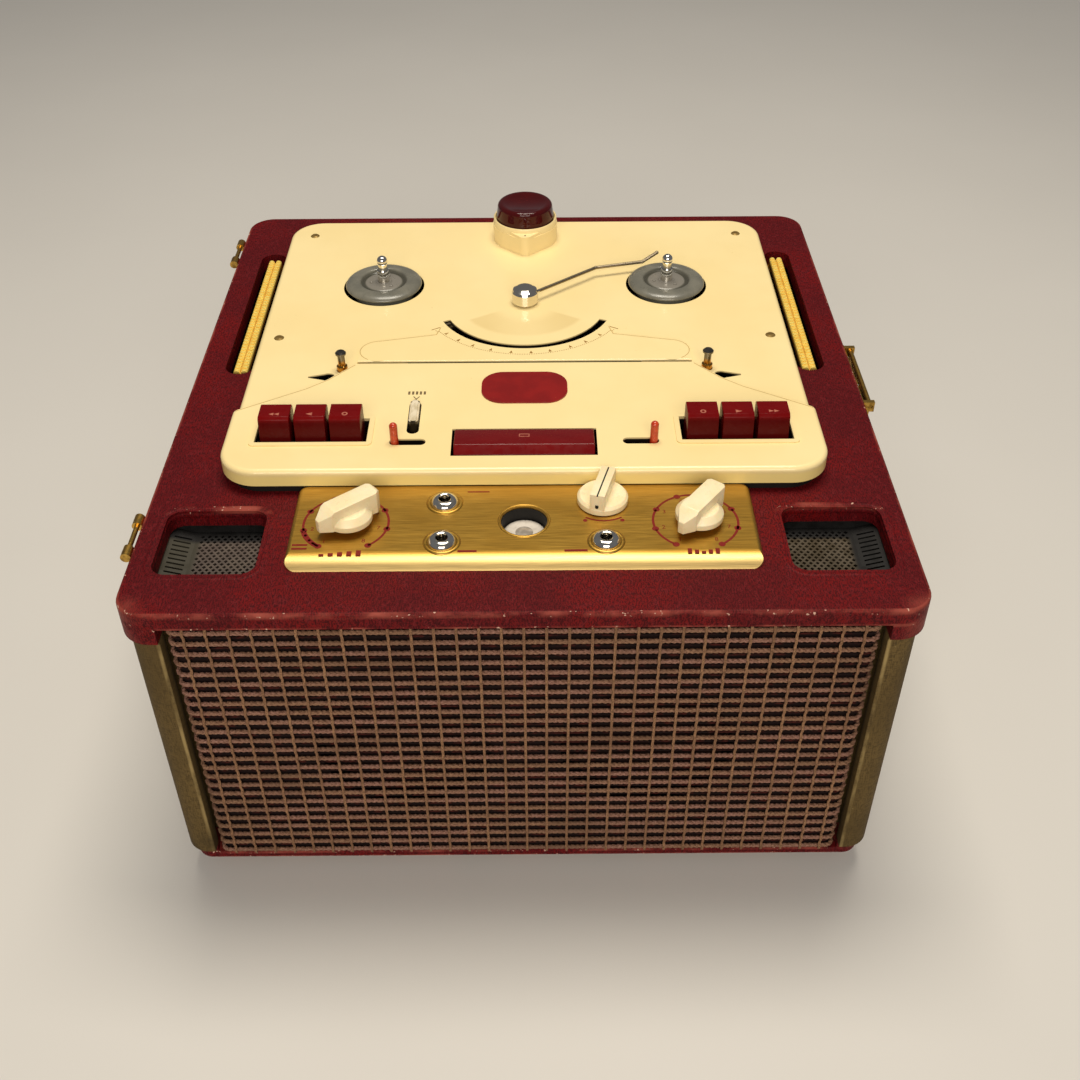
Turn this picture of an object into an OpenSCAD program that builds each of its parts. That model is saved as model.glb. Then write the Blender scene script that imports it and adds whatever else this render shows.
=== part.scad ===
// Portable reel-to-reel tape recorder with a twin-direction tape deck, loudspeakers and amplifier.
// X runs to the right, Y to the rear and Z up; the origin is under the middle of the case, on the ground.

/* [Cabinet] */
// Height of the top board above the ground
case_h = 216; // [206:1:228]
// Distance from the deck plate to each side of the case
side_margin = 38; // [36:1:44]
// Distance from the deck plate to the rear of the case
rear_margin = 31.5; // [28:0.5:40]
// Distance from the deck's front edge to the front of the case
front_margin = 98.5; // [96:0.5:110]
// Plan radius of the case corners
corner_r = 17; // [15:1:22]
// Thickness of the top board
board_t = 10; // [9:0.5:12]
// Height of the dark band round the top of the case
band_h = 20; // [18:1:24]
// Amount that the band overhangs the walls
wall_inset = 3; // [2:0.5:4]
// Thickness of the plywood walls
wall_t = 8; // [7:0.5:9]
// Thickness of the base board
base_t = 5; // [4.5:0.5:8]
// Height of the base's step, which carries the walls
wall_lift = 5.5; // [4:0.5:8]
// Amount that the base stands in from the walls
base_in = 4; // [3:0.5:5]
// Height of the rubber feet
foot_h = 11; // [8:0.5:13]
// Radius of the rubber feet
foot_r = 11; // [8:0.5:14]
// Distance of the feet from the case sides
foot_in = 45; // [35:1:60]
// Height of the piping bead under the band
bead_h = 2; // [1.5:0.25:3]
// Amount that the bead stands proud of the walls
bead_out = 1; // [0.5:0.25:2]

/* [Grille] */
// Width of the front opening
grille_w = 370; // [364:1:374]
// Depth of the cloth behind the front edge
grille_set = 5; // [3:0.5:8]
// Radius of the thick horizontal cords
cord_r = 1.6; // [1.2:0.1:1.9]
// Pitch of the horizontal cords
cord_pitch = 7.45; // [6.8:0.05:8]
// Least room above the top cord and below the bottom one
cord_room = 0.2; // [0.2:0.1:1]
// Width of the thin vertical strands
strand_w = 1.4; // [1:0.1:2]
// Thickness of the thin vertical strands
strand_t = 0.8; // [0.5:0.1:1.2]
// Pitch of the vertical strands
strand_pitch = 11.6; // [10:0.2:13]
// Gap between the cloth and the corner posts
cloth_gap = 1.2; // [0.8:0.1:2]
// Thickness of the baffle board
baffle_t = 12; // [9:0.5:14]
// Radius of the baffle's upright edges
baffle_edge_r = 2.5; // [2:0.5:4]

/* [Loudspeakers] */
// Distance of each loudspeaker from the middle
speaker_x = 67; // [66:1:75]
// Radius of a loudspeaker's rim
speaker_r = 62; // [56:1:64]
// Radius of a sound hole in the baffle
aperture_r = 48; // [42:1:52]
// Depth of a loudspeaker's basket
basket_d = 36; // [30:1:42]
// Radius of a loudspeaker's magnet
magnet_r = 24; // [20:1:28]
// Length of a loudspeaker's magnet
magnet_l = 20; // [15:1:24]

/* [Corner wells] */
// Width of a well in the top board
well_w = 54; // [48:1:56]
// Depth of a well, front to back
well_d = 52; // [46:1:56]
// Distance of a well from the case side
well_edge = 13; // [12.5:0.5:16]
// Distance of a well from the case front
well_front = 31; // [26:1:34]
// Corner radius of a well
well_r = 8; // [5:0.5:12]
// Depth of the perforated tray under the board
tray_h = 6; // [5:0.5:8]
// Width of the tray's sloping outer side
tray_slope = 13; // [10:0.5:15]
// Thickness of the tray's sheet
tray_t = 1.2; // [0.8:0.1:1.4]
// Width of a diamond hole across its corners
mesh_hole = 2.4; // [2:0.1:2.6]
// Pitch of the diamond holes across the tray
mesh_pitch = 3.6; // [3.4:0.1:4.4]

/* [Side vents] */
// Length of a vent strip
vent_l = 147; // [130:1:155]
// Width of a vent strip
vent_w = 9; // [8.6:0.2:10]
// Radius of a strip's two ribs
vent_rib_r = 2.1; // [1.8:0.1:2.1]
// Pitch of the notches across the ribs
notch_pitch = 3.6; // [3:0.2:5]
// Gap between the deck plate and the vent slot
vent_gap = 3; // [2:0.5:4]
// Room left each side of the strip in its slot
vent_room = 4.5; // [4:0.5:5]
// Distance of a strip's middle from the deck's rear edge
vent_back = 106.7; // [100:0.1:110]

/* [Deck] */
// Width of the rear deck plate
deck_w = 336; // [330:1:346]
// Depth of the whole deck
deck_d = 308.5; // [302:0.5:316]
// Extra width of the front cover on each side
cover_lip = 2; // [1:0.5:3]
// Plan radius of the deck's corners
deck_r = 22; // [16:1:28]
// Height of the dark plinth under the deck
plinth_h = 5; // [4:0.5:7]
// Height of the rear plate from its skirt to its top
plate_h = 7; // [6:0.5:8]
// Height of the front cover from its skirt to its top
cover_h = 10; // [9:0.5:12]
// Thickness of the rear plate's sheet
sheet_t = 2; // [1.5:0.25:2.5]
// Thickness of the skirts
skirt_t = 3; // [2.5:0.25:4]
// Radius of the deck's upper edges
edge_r = 3; // [2:0.5:4]
// Distance from the deck's front to the tape slot
slot_back = 112; // [108:1:116]
// Width of the tape slot
slot_w = 5; // [4.6:0.2:6]
// Length of the tape slot
slot_l = 206; // [200:1:210]
// Height of the head cover above the rear plate
head_cover_h = 1.6; // [1.2:0.1:2.2]

/* [Reel tables] */
// Distance between the two spindles
reel_pitch = 190; // [184:1:194]
// Distance from the deck's rear edge to the spindles
reel_back = 96.5; // [93:0.5:100]
// Radius of a reel table
table_r = 25.5; // [22:0.5:29]
// Gap round a reel table
table_gap = 1.5; // [1:0.1:2]
// Height of a reel table above the rear plate
table_rise = 5; // [4:0.2:6]
// Radius of a reel table's shaft
table_shaft_r = 5; // [4:0.25:6]
// Radius of the reel spindle
spindle_r = 3.95; // [3.5:0.05:4.2]
// Height of the reel spindle above its table
spindle_h = 18; // [16:0.5:22]
// Height of the thick foot of the spindle, where a reel sits
spindle_seat = 8; // [6:0.5:10]

/* [Keys and levers] */
// Distance of each key group's middle from the deck's side
key_edge = 47.6; // [47:0.2:49]
// Pitch of the keys
key_pitch = 19.9; // [19.4:0.1:20.4]
// Width of a key
key_w = 17.4; // [16:0.2:18.2]
// Depth of a key's top
key_d = 15.5; // [13:0.5:17]
// Height of a key above the front cover
key_h = 14; // [11:0.5:16]
// Distance of the keys' fronts from the deck's front
key_setback = 29; // [28:0.5:31]
// Length of a key's arm from its front to its pivot
key_arm = 50; // [48:0.5:52]
// Radius of the key shafts
key_shaft_r = 2.5; // [2:0.1:3]
// Distance of the stop bar's ends from the record levers
stop_gap = 33.5; // [31:0.5:36]
// Depth of the stop bar
stop_d = 21.5; // [18:0.5:24]
// Height of the stop bar's ridge above the front cover
stop_rise = 2.5; // [1.5:0.5:4]
// Distance of the stop bar's front from the deck's front
stop_setback = 16; // [15:0.5:18]
// Distance of a record lever from the middle of its key group
lever_gap = 47.4; // [46:0.2:48.4]
// Travel of a record lever
lever_travel = 14.5; // [12:0.5:16]
// Radius of a record lever
lever_r = 2.3; // [1.8:0.1:2.8]
// Height of a record lever above the front cover
lever_h = 13; // [10:0.5:16]
// Distance of the lever slots from the deck's front
lever_setback = 27; // [26:0.5:28]
// Distance of the pause key inward of the left record lever
pause_gap = 9.4; // [8:0.2:11]
// Length of the pause slot
pause_slot_l = 32; // [30:0.5:34]
// Width of the pause slot
pause_slot_w = 7; // [6:0.25:8]
// Length of the pause key
pause_l = 24; // [20:0.5:25]

/* [Gauge] */
// Distance of the gauge hub in front of the spindles
gauge_drop = 23.5; // [21:0.5:26]
// Radius of the gauge hub's cap
hub_r = 8.6; // [7.4:0.2:9.6]
// Height of the gauge hub's cap
hub_h = 11.5; // [10:0.5:13]
// Inner radius of the scale slot
arc_r = 53; // [50:0.5:54]
// Width of the scale slot
arc_w = 5; // [4:0.25:5.5]
// Half angle of the scale slot
arc_half = 66; // [60:1:70]
// Radius of the gauge wire
wire_r = 1.1; // [0.9:0.1:1.4]

/* [Speed control] */
// Radius of the speed housing
speed_r = 22.6; // [21.6:0.2:24]
// Distance of the speed control from the deck's rear edge
speed_back = 26.5; // [26:0.1:28]
// Height of the speed housing above the rear plate
speed_h = 14; // [11:0.5:16]
// Length of the housing's nose from its centre
speed_nose = 28.5; // [28:0.5:31]
// Radius of the speed knob
speed_knob_r = 20.5; // [17:0.5:21]
// Height of the speed knob
speed_knob_h = 12.5; // [10:0.5:15]

/* [Control panel] */
// Width of the control panel
panel_w = 248; // [244:1:252]
// Height of the control panel above the board
panel_h = 4.6; // [4:0.1:4.8]
// Thickness of the panel's sheet
panel_t = 1.5; // [1:0.1:1.8]
// Distance of the panel's front from the case front
panel_front = 32.4; // [30:0.2:36]
// Radius of the rolled front edge
roll_r = 8; // [7:0.5:10]
// Plan radius of the panel's corners
panel_r = 6; // [4:0.5:9]
// Distance of the volume and tone knobs from the panel's ends
pot_edge = 31; // [28:1:34]
// Distance of those knobs from the case front
pot_front = 66; // [64:0.5:68]
// Radius of a knob's round foot
knob_r = 12.8; // [11:0.2:14]
// Height of a knob's pointer bar
knob_h = 13; // [11:0.5:15]
// Length of a knob's pointer bar
knob_l = 37; // [33:1:40]
// Gap between a pointer knob's foot and the panel
knob_gap = 3.6; // [0.6:0.2:5]
// Distance of the selector knob from the middle
selector_x = 42.5; // [41:0.5:45]
// Distance of the selector knob in front of the deck
selector_back = 14.5; // [14.5:0.5:16]
// Radius of the selector knob's disc
selector_r = 13.8; // [13:0.1:13.9]
// Distance of the jacks from the middle
jack_x = 43; // [41:0.5:45]
// Distance of the front jacks from the case front
jack_front = 50; // [49:0.5:52]
// Distance of the rear jack from the case front
jack_rear = 83; // [81:0.5:85]
// Radius of a jack's bore
jack_bore_r = 3.2; // [3:0.05:3.3]
// Length of a jack's bore
jack_bore_l = 26; // [22:1:28]
// Radius of a jack's bright bowl
jack_r = 7.6; // [7:0.2:8.6]
// Height of a jack's nut above the panel
jack_rise = 3.6; // [3:0.2:4.2]
// Distance of the tuning eye from the case front
eye_front = 67.5; // [66:0.5:69]
// Radius of the tuning eye's window
eye_r = 12.5; // [11:0.5:13.5]

/* [Case fittings] */
// Distance of the front hinge's middle from the case front
hinge_front = 63.5; // [56:0.5:75]
// Distance of the rear hinge's middle from the case rear
hinge_rear = 53; // [50:0.5:65]
// Length of a hinge
hinge_l = 34; // [28:1:40]
// Radius of a hinge knuckle
knuckle_r = 2.8; // [2.4:0.1:3.2]
// Radius of a hinge pin
hinge_pin_r = 1.4; // [1.2:0.05:1.6]
// Length of the latch plate
latch_l = 76; // [66:1:84]
// Distance between the handle's brackets
handle_l = 132; // [110:1:150]
// Drop of the handle from its pivot to its grip
handle_drop = 34; // [28:1:42]
// Radius of the handle's grip
grip_r = 5.5; // [4.5:0.25:5.75]
// Drop of the handle's pivot below the top board
handle_below = 82; // [70:1:95]

/* [Hidden] */
$fn = 48;

// Clearances: shaft in its bore, part beside part, and how far a cut runs past a face
run_fit = 0.06;
side_fit = 0.3;
over = 1;

// Case
case_w = deck_w + 2 * side_margin;
case_d = deck_d + rear_margin + front_margin;
wall_w = case_w - 2 * wall_inset;
wall_d = case_d - 2 * wall_inset;
wall_r = corner_r - wall_inset;
wall_z = foot_h + base_t;
wall_low = wall_z + wall_lift;
board_z = case_h - board_t;
band_z = case_h - band_h;
front_y = -case_d / 2;
inner_x = wall_w / 2 - wall_t;

// Grille and loudspeakers
cord_y = front_y + grille_set + strand_t + cord_r;
baffle_y = cord_y + cord_r;
baffle_back = baffle_y + baffle_t;
baffle_w = grille_w - 2 * (cloth_gap + 2 * cord_r);
grille_h = board_z - wall_z;
speaker_z = wall_z + (band_z - bead_h - wall_z) / 2;
surround_t = 0.6;

// Wells and vents
well_x = case_w / 2 - well_edge - well_w / 2;
well_y = front_y + well_front + well_d / 2;
tray_z = board_z - tray_h;
vent_x = deck_w / 2 + vent_gap + vent_room + vent_w / 2;
vent_slot_w = vent_w + 2 * vent_room;
vent_y = deck_rear_y() - vent_back;
vent_base_t = 2;
vent_z = case_h - vent_rib_r - 1.6;

// Deck levels and places
deck_z = case_h + plinth_h;
plate_z = deck_z + plate_h;
cover_z = deck_z + cover_h;
sheet_z = plate_z - sheet_t;
deck_rear = deck_rear_y();
deck_front = deck_rear - deck_d;
deck_mid = (deck_rear + deck_front) / 2;
cover_w = deck_w + 2 * cover_lip;
slot_y = deck_front + slot_back;
slot_front = slot_y - slot_w / 2;
slot_rear = slot_y + slot_w / 2;
reel_x = reel_pitch / 2;
reel_y = deck_rear - reel_back;
gauge_y = reel_y - gauge_drop;
speed_y = deck_rear - speed_back;
table_z = plate_z + table_rise;
seat_z = table_z - 0.8;

// The chassis tray hangs in a hole in the top board, by a flange on the board
hole_side = 12;
hole_front = 19.5;
hole_rear = 18;
flange_w = 5;
flange_t = 1.5;
chassis_t = 2;
chassis_z = case_h - 18;
hole_w = deck_w - 2 * hole_side;
hole_d = deck_d - hole_front - hole_rear;
hole_y = deck_front + hole_front + hole_d / 2;
floor_z = chassis_z + chassis_t;
boss_z = plate_z - 5;

// Capstans, pinch rollers and posts, measured from the tape slot
capstan_x = 62;
capstan_y = slot_y + 6.5;
capstan_r = 2.5;
flywheel_r = 38;
flywheel_t = 14;
pinch_y = slot_y - 12.5;
pinch_r = 7;
pinch_pin_r = 1.6;
post_x = slot_l / 2 + 8.5;
post_y = slot_y - 4.5;
post_r = 3.3;
post_h = 13;
screw_rear = [deck_w / 2 - 17, deck_rear - 22.4];
screw_side = [deck_w / 2 - 12, slot_y + 33.5];
screw_r = 1.5;

// Keys, bar and levers
key_group_x = deck_w / 2 - key_edge;
lever_x = key_group_x - lever_gap;
pause_x = lever_x - pause_gap;
stop_w = 2 * (lever_x - stop_gap);
key_front = deck_front + key_setback;
key_pivot_y = key_front + key_arm;
key_pivot_z = case_h + 3.5;
key_well_w = 2 * key_pitch + key_w + 6;
key_well = [key_front - 2.5, key_front + key_d + 5];
arm_w = 8;
stop_front = deck_front + stop_setback;
stop_pivot_y = stop_front + 53.5;
stop_pivot_z = case_h;
stop_well = [stop_front - 2.5, stop_front + stop_d + 2];
lever_y = deck_front + lever_setback;
lever_slot_w = 2 * lever_r + 1.4;
slider_t = 2;
slider_z = case_h + 3;
pause_y = deck_front + 51;
pause_w = pause_slot_w - 1.6;
pause_start = (pause_slot_l - pause_l) / 2 - 0.8;

// Gauge wire: plan points from the hub to the upturned tip
wire_clear = 0.5;
wire_z = table_z + wire_r + wire_clear;
wire_path = [[7, 2, 0], [48, 35, 0], [80, 43, 0], [90, 46.5, 5]];
pointer_t = 1.4;
pointer_z = sheet_z - pointer_t - 0.8;
pointer_turn = 207;

// Control panel
panel_z = case_h + panel_h;
panel_under = panel_z - panel_t;
panel_y0 = front_y + panel_front;
panel_y1 = deck_front + 1.9;
panel_d = panel_y1 - panel_y0;
panel_mid = (panel_y0 + panel_y1) / 2;
panel_hole_w = panel_w - 24;
panel_hole = [panel_y0 + 8, panel_y1 - 3.5];
pot_x = panel_w / 2 - pot_edge;
pot_y = front_y + pot_front;
selector_y = deck_front - selector_back;
eye_y = front_y + eye_front;
stem_r = 3;
stem_l = 14;
knob_z = panel_z + knob_gap;
disc_z = panel_z + 0.5;
stem_z = disc_z - stem_l;
pot_r = 12.5;
bush_r = 6;
jacks = [[-jack_x, front_y + jack_rear], [-jack_x, front_y + jack_front], [jack_x, front_y + jack_front]];

// Amplifier, on the base board behind the loudspeakers
amp_w = wall_w - 106;
amp_d = 92;
amp_h = 44;
amp_t = 1.5;
amp_y = baffle_back + basket_d + magnet_l + 20;

// Drive motors and valves
motor_r = 34;
motor_h = 58;
motor_gap = 8;
motor_cap = 10;
valve_r = 10.5;
valve_h = 60;

// Case fittings
hinge_t = 1.4;
latch_t = 1.5;
latch_pin_r = 1.5;
latch_z = case_h - 4;
latch_x = case_w / 2 + latch_t + 2.8;
handle_x = wall_w / 2 + grip_r + 0.5;
handle_z = case_h - handle_below;
handle_pin_r = 2;
bracket_l = 10;
arm_t = 8;
inlet_x = -60;
inlet_z = wall_z + 50;
inlet_r = 14;

function deck_rear_y() = (deck_d + rear_margin + front_margin) / 2 - rear_margin;

// Plain rectangle with round corners, centred
module rounded_rect(w, d, r) {
    square([w - 2 * r, d], center = true);
    square([w, d - 2 * r], center = true);
    for (x = [-1, 1], y = [-1, 1]) {
        translate([x * (w / 2 - r), y * (d / 2 - r)]) circle(r);
    }
}

// Section of a slab's rim: R from the corner centre to the side, r the round of the upper edge
module rim_section(R, h, r) {
    square([R, h - r]);
    square([R - r, h]);
    translate([R - r, h - r]) circle(r);
}

// Slab with round plan corners and a round upper edge, standing on Z = 0
module soft_slab(w, d, h, R, r) {
    translate([-(w / 2 - R), -(d / 2 - R), 0]) cube([w - 2 * R, d - 2 * R, h]);
    for (a = [0 : 3]) {
        x = (a == 0 || a == 3) ? w / 2 - R : R - w / 2;
        y = (a < 2) ? d / 2 - R : R - d / 2;
        run = (a % 2 == 0) ? d - 2 * R : w - 2 * R;
        out = (a % 2 == 0) ? w / 2 - R : d / 2 - R;
        translate([x, y, 0]) rotate(a * 90) rotate_extrude(angle = 90) rim_section(R, h, r);
        rotate(a * 90) translate([out, run / 2, 0]) rotate([90, 0, 0]) linear_extrude(run)
            rim_section(R, h, r);
    }
}

// Capsule from one point to another along X or Y, flat
module capsule(l, w) {
    square([l - w, w], center = true);
    for (s = [-1, 1]) {
        translate([s * (l - w) / 2, 0]) circle(w / 2);
    }
}

// Round bar between two points with ball ends
module wire(a, b, r) {
    v = b - a;
    l = norm(v);
    translate(a) sphere(r + 0.15);
    translate(b) sphere(r + 0.15);
    translate(a) rotate([0, acos(v[2] / l), atan2(v[1], v[0])]) cylinder(r = r, h = l);
}

// Axis along +Y from the XY frame of the child
module along_y() {
    rotate([-90, 0, 0]) children();
}

module both_sides() {
    children();
    mirror([1, 0, 0]) children();
}

// Opening between the front corner posts
module front_opening() {
    translate([-grille_w / 2, front_y - over, wall_z - over])
        cube([grille_w, corner_r + over, board_z - wall_z + over]);
}

module wall_ring(grow) {
    difference() {
        rounded_rect(wall_w + 2 * grow, wall_d + 2 * grow, wall_r + grow);
        rounded_rect(wall_w - 2 * wall_t, wall_d - 2 * wall_t, wall_r - wall_t);
    }
}

// Side and rear walls with round front corner posts, the piping bead and the baffle's cleats
module case_walls() {
    cleat = 16;
    cleat_x = grille_w / 2 - cleat;
    color("darkkhaki") {
        difference() {
            union() {
                translate([0, 0, wall_low]) linear_extrude(band_z - bead_h - wall_low) wall_ring(0);
                translate([0, 0, band_z - bead_h]) linear_extrude(bead_h) wall_ring(bead_out);
            }
            front_opening();
            translate([inlet_x, wall_d / 2 - wall_t - over, inlet_z]) along_y()
                cylinder(r = inlet_r + side_fit, h = wall_t + 2 * over);
        }
        both_sides() translate([cleat_x, baffle_back, wall_low])
            cube([inner_x + over - cleat_x, cleat, tray_z - wall_low - 8]);
    }
}

// Lid board with its band, cut for the deck, the control panel, the wells and the vents
module top_board() {
    color("maroon") difference() {
        translate([0, 0, band_z]) soft_slab(case_w, case_d, band_h, corner_r, 2);
        translate([0, 0, band_z - over]) linear_extrude(board_z - band_z + over)
            rounded_rect(wall_w - 2 * wall_t, wall_d - 2 * wall_t, wall_r - wall_t);
        front_opening();
        translate([0, hole_y, board_z - over]) linear_extrude(board_t + 2 * over)
            square([hole_w, hole_d], center = true);
        translate([0, (panel_hole[0] + panel_hole[1]) / 2, board_z - over]) linear_extrude(board_t + 2 * over)
            square([panel_hole_w, panel_hole[1] - panel_hole[0]], center = true);
        both_sides() translate([well_x, well_y, board_z - over]) linear_extrude(board_t + 2 * over)
            rounded_rect(well_w, well_d, well_r);
        both_sides() translate([vent_x, vent_y, board_z - over]) rotate(90) linear_extrude(board_t + 2 * over)
            capsule(vent_l + 12, vent_slot_w);
    }
}

// Base board, with a step set in from the walls that carries them
module base_board() {
    color("maroon") {
        translate([0, 0, foot_h]) linear_extrude(base_t)
            rounded_rect(wall_w - 2 * base_in, wall_d - 2 * base_in, wall_r - base_in);
        difference() {
            translate([0, 0, wall_z - over]) linear_extrude(wall_lift + over) wall_ring(-base_in);
            front_opening();
        }
    }
}

module rubber_feet() {
    color("black") for (x = [-1, 1], y = [-1, 1]) {
        translate([x * (case_w / 2 - foot_in), y * (case_d / 2 - foot_in), 0])
            cylinder(r1 = foot_r - 1.5, r2 = foot_r, h = foot_h);
    }
}

// Sound board with round upright edges and two sound holes
module baffle_board() {
    color("saddlebrown") difference() {
        translate([0, baffle_y, wall_z]) linear_extrude(grille_h) {
            translate([-baffle_w / 2, baffle_edge_r]) square([baffle_w, baffle_t - baffle_edge_r]);
            translate([baffle_edge_r - baffle_w / 2, 0]) square([baffle_w - 2 * baffle_edge_r, baffle_t]);
            both_sides() translate([baffle_w / 2 - baffle_edge_r, baffle_edge_r]) circle(baffle_edge_r);
        }
        both_sides() translate([speaker_x, baffle_y - over, speaker_z]) along_y()
            cylinder(r = aperture_r, h = baffle_t + 2 * over);
    }
}

// One thick cord of the cloth, bent round the baffle's edges
module cord() {
    bend = baffle_edge_r + cord_r;
    run = baffle_w - 2 * baffle_edge_r;
    rotate([0, 90, 0]) cylinder(r = cord_r, h = run, center = true);
    both_sides() translate([run / 2, bend, 0]) {
        rotate(-90) rotate_extrude(angle = 90) translate([bend, 0]) circle(cord_r);
        translate([bend, 0, 0]) along_y() cylinder(r = cord_r, h = baffle_t - baffle_edge_r - 1);
    }
}

module grille_cords() {
    count = floor((grille_h - 2 * (cord_r + cord_room)) / cord_pitch);
    first = wall_z + (grille_h - count * cord_pitch) / 2;
    color("rosybrown") for (i = [0 : count]) {
        translate([0, cord_y, first + i * cord_pitch]) cord();
    }
}

module grille_strands() {
    count = floor((baffle_w - 2 * baffle_edge_r) / strand_pitch);
    color("tan") for (i = [0 : count]) {
        translate([(i - count / 2) * strand_pitch - strand_w / 2, cord_y - cord_r - strand_t, wall_z])
            cube([strand_w, strand_t, grille_h]);
    }
}

// Diamond holes of a perforated floor, in staggered rows
module mesh_holes() {
    row = mesh_pitch * 0.64;
    cols = floor((well_w - tray_slope - 4) / mesh_pitch);
    rows = floor((well_d - 4) / row);
    for (j = [0 : rows - 1]) {
        for (i = [0 : cols - 1]) {
            translate([
                (i - cols / 2 + (j % 2 ? 0.75 : 0.25)) * mesh_pitch - tray_slope / 2,
                (j - (rows - 1) / 2) * row
            ])
                circle(mesh_hole / 2, $fn = 4);
        }
    }
}

// Side section run along Y, about the middle
module tray_run(l) {
    translate([0, l / 2, 0]) rotate([90, 0, 0]) linear_extrude(l) children();
}

// Shallow perforated tray under a corner well: rim against the board, outer side sloping up to it
module vent_tray() {
    rim = 4;
    half = well_w / 2;
    ribs = floor((well_d - 8) / mesh_pitch);
    difference() {
        union() {
            tray_run(well_d + 2 * tray_t) polygon([
                [-half - tray_t, tray_z], [half - tray_slope, tray_z], [half + tray_t, board_z - tray_t],
                [half + tray_t, board_z], [-half - tray_t, board_z]
            ]);
            translate([-half - rim, -well_d / 2 - rim, board_z - tray_t])
                cube([well_w + rim + tray_t, well_d + 2 * rim, tray_t]);
        }
        tray_run(well_d) polygon([
            [-half, tray_z + tray_t], [half - tray_slope, tray_z + tray_t], [half, board_z - tray_t],
            [half, board_z + over], [-half, board_z + over]
        ]);
        translate([0, 0, tray_z - over]) linear_extrude(tray_t + 2 * over) mesh_holes();
        for (i = [0 : ribs - 1]) {
            y = (i - (ribs - 1) / 2) * mesh_pitch;
            translate([half - tray_slope + 2, y - mesh_hole / 2, tray_z - over])
                cube([tray_slope - 4, mesh_hole / 2, tray_h]);
        }
    }
}

module vent_trays() {
    color("dimgray") both_sides() translate([well_x, well_y, 0]) vent_tray();
}

// Gilt strip of two notched ribs, held by a tab under the board at each end
module side_vent() {
    leg = 2;
    tab = 16;
    notches = floor((vent_l - 6) / notch_pitch);
    difference() {
        union() {
            translate([-vent_w / 2, -vent_l / 2, vent_z - vent_base_t]) cube([vent_w, vent_l, vent_base_t]);
            intersection() {
                for (s = [-1, 1]) {
                    translate([s * (vent_rib_r + 0.3), -vent_l / 2, vent_z]) along_y()
                        cylinder(r = vent_rib_r, h = vent_l);
                }
                translate([-vent_w, -vent_l, vent_z - vent_base_t / 2])
                    cube([2 * vent_w, 2 * vent_l, vent_w]);
            }
        }
        for (i = [0 : notches]) {
            translate([-vent_w / 2, (i - notches / 2) * notch_pitch - 0.6, vent_z + vent_rib_r - 0.8])
                cube([vent_w, 1.2, vent_rib_r]);
        }
    }
    for (s = [-1, 1]) {
        translate([-vent_w / 2, s > 0 ? vent_l / 2 - leg : -vent_l / 2, board_z - leg])
            cube([vent_w, leg, vent_z - board_z + leg]);
        translate([-vent_w / 2, s > 0 ? vent_l / 2 - leg : leg - vent_l / 2 - tab, board_z - leg])
            cube([vent_w, tab, leg]);
    }
}

module side_vents() {
    color("goldenrod") both_sides() translate([vent_x, vent_y, 0]) side_vent();
}

// Black packing ring that lifts the deck off the board
module deck_plinth() {
    ring_in = skirt_t - 1;
    color("black") translate([0, 0, case_h]) linear_extrude(plinth_h) difference() {
        translate([0, deck_mid]) rounded_rect(deck_w - 2 * ring_in, deck_d - 2 * ring_in, deck_r - ring_in);
        translate([0, hole_y])
            square([hole_w + 2 * (flange_w + side_fit), hole_d + 2 * (flange_w + side_fit)], center = true);
    }
}

// Plan of the front cover: its rear edge runs from the sides in to the ends of the tape slot
module cover_plan(grow) {
    half = cover_w / 2 + over;
    polygon([
        [-half, deck_front - over], [half, deck_front - over], [half, slot_y - 54 + grow],
        [slot_l / 2 + 27, slot_y - 29.5 + grow], [slot_l / 2 + 15, slot_y - 19.5 + grow],
        [slot_l / 2, slot_front + grow], [-slot_l / 2, slot_front + grow],
        [-slot_l / 2 - 15, slot_y - 19.5 + grow], [-slot_l / 2 - 27, slot_y - 29.5 + grow],
        [-half, slot_y - 54 + grow]
    ]);
}

// Hollow pressing with round upper edges, open below
module pressing(w, h, t) {
    difference() {
        translate([0, deck_mid, deck_z]) soft_slab(w, deck_d, h, deck_r, edge_r);
        translate([0, deck_mid, deck_z - over]) linear_extrude(h - t + over)
            rounded_rect(w - 2 * skirt_t, deck_d - 2 * skirt_t, deck_r - skirt_t);
    }
}

// Scale slot of the gauge, through the rear plate
module arc_slot(r, w, z, h) {
    translate([0, gauge_y, z]) rotate(270 - arc_half) rotate_extrude(angle = 2 * arc_half) translate([r, 0])
        square([w, h]);
}

// Teardrop hole beside a guide post
module teardrop() {
    circle(4.2);
    polygon([[0, -4.2], [12, -0.8], [12, 0.8], [0, 4.2]]);
}

// Rear deck plate with holes for the reel tables, gauge, heads, posts and screws
module deck_plate() {
    head_hole = [144, 18];
    color("wheat") difference() {
        pressing(deck_w, plate_h, sheet_t);
        translate([0, 0, deck_z - over]) linear_extrude(cover_h + 2 * over) cover_plan(0.02);
        translate([-slot_l / 2, slot_front - over, deck_z - over]) cube([slot_l, slot_w + over, cover_h]);
        translate([-head_hole[0] / 2, slot_front, deck_z - over])
            cube([head_hole[0], head_hole[1], cover_h]);
        both_sides() translate([reel_x, reel_y, deck_z - over])
            cylinder(r = table_r + table_gap, h = cover_h);
        translate([0, gauge_y, deck_z - over]) cylinder(r = 3.6, h = cover_h);
        arc_slot(arc_r, arc_w, deck_z - over, cover_h);
        both_sides() translate([post_x, post_y, deck_z - over])
            cylinder(r = post_r + side_fit, h = cover_h);
        both_sides() translate([post_x + 8, post_y - 8, deck_z - over]) linear_extrude(cover_h) teardrop();
        both_sides() for (p = [screw_rear, screw_side]) {
            translate([p[0], p[1], deck_z - over]) cylinder(r = screw_r + 0.2, h = cover_h);
        }
    }
}

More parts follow.
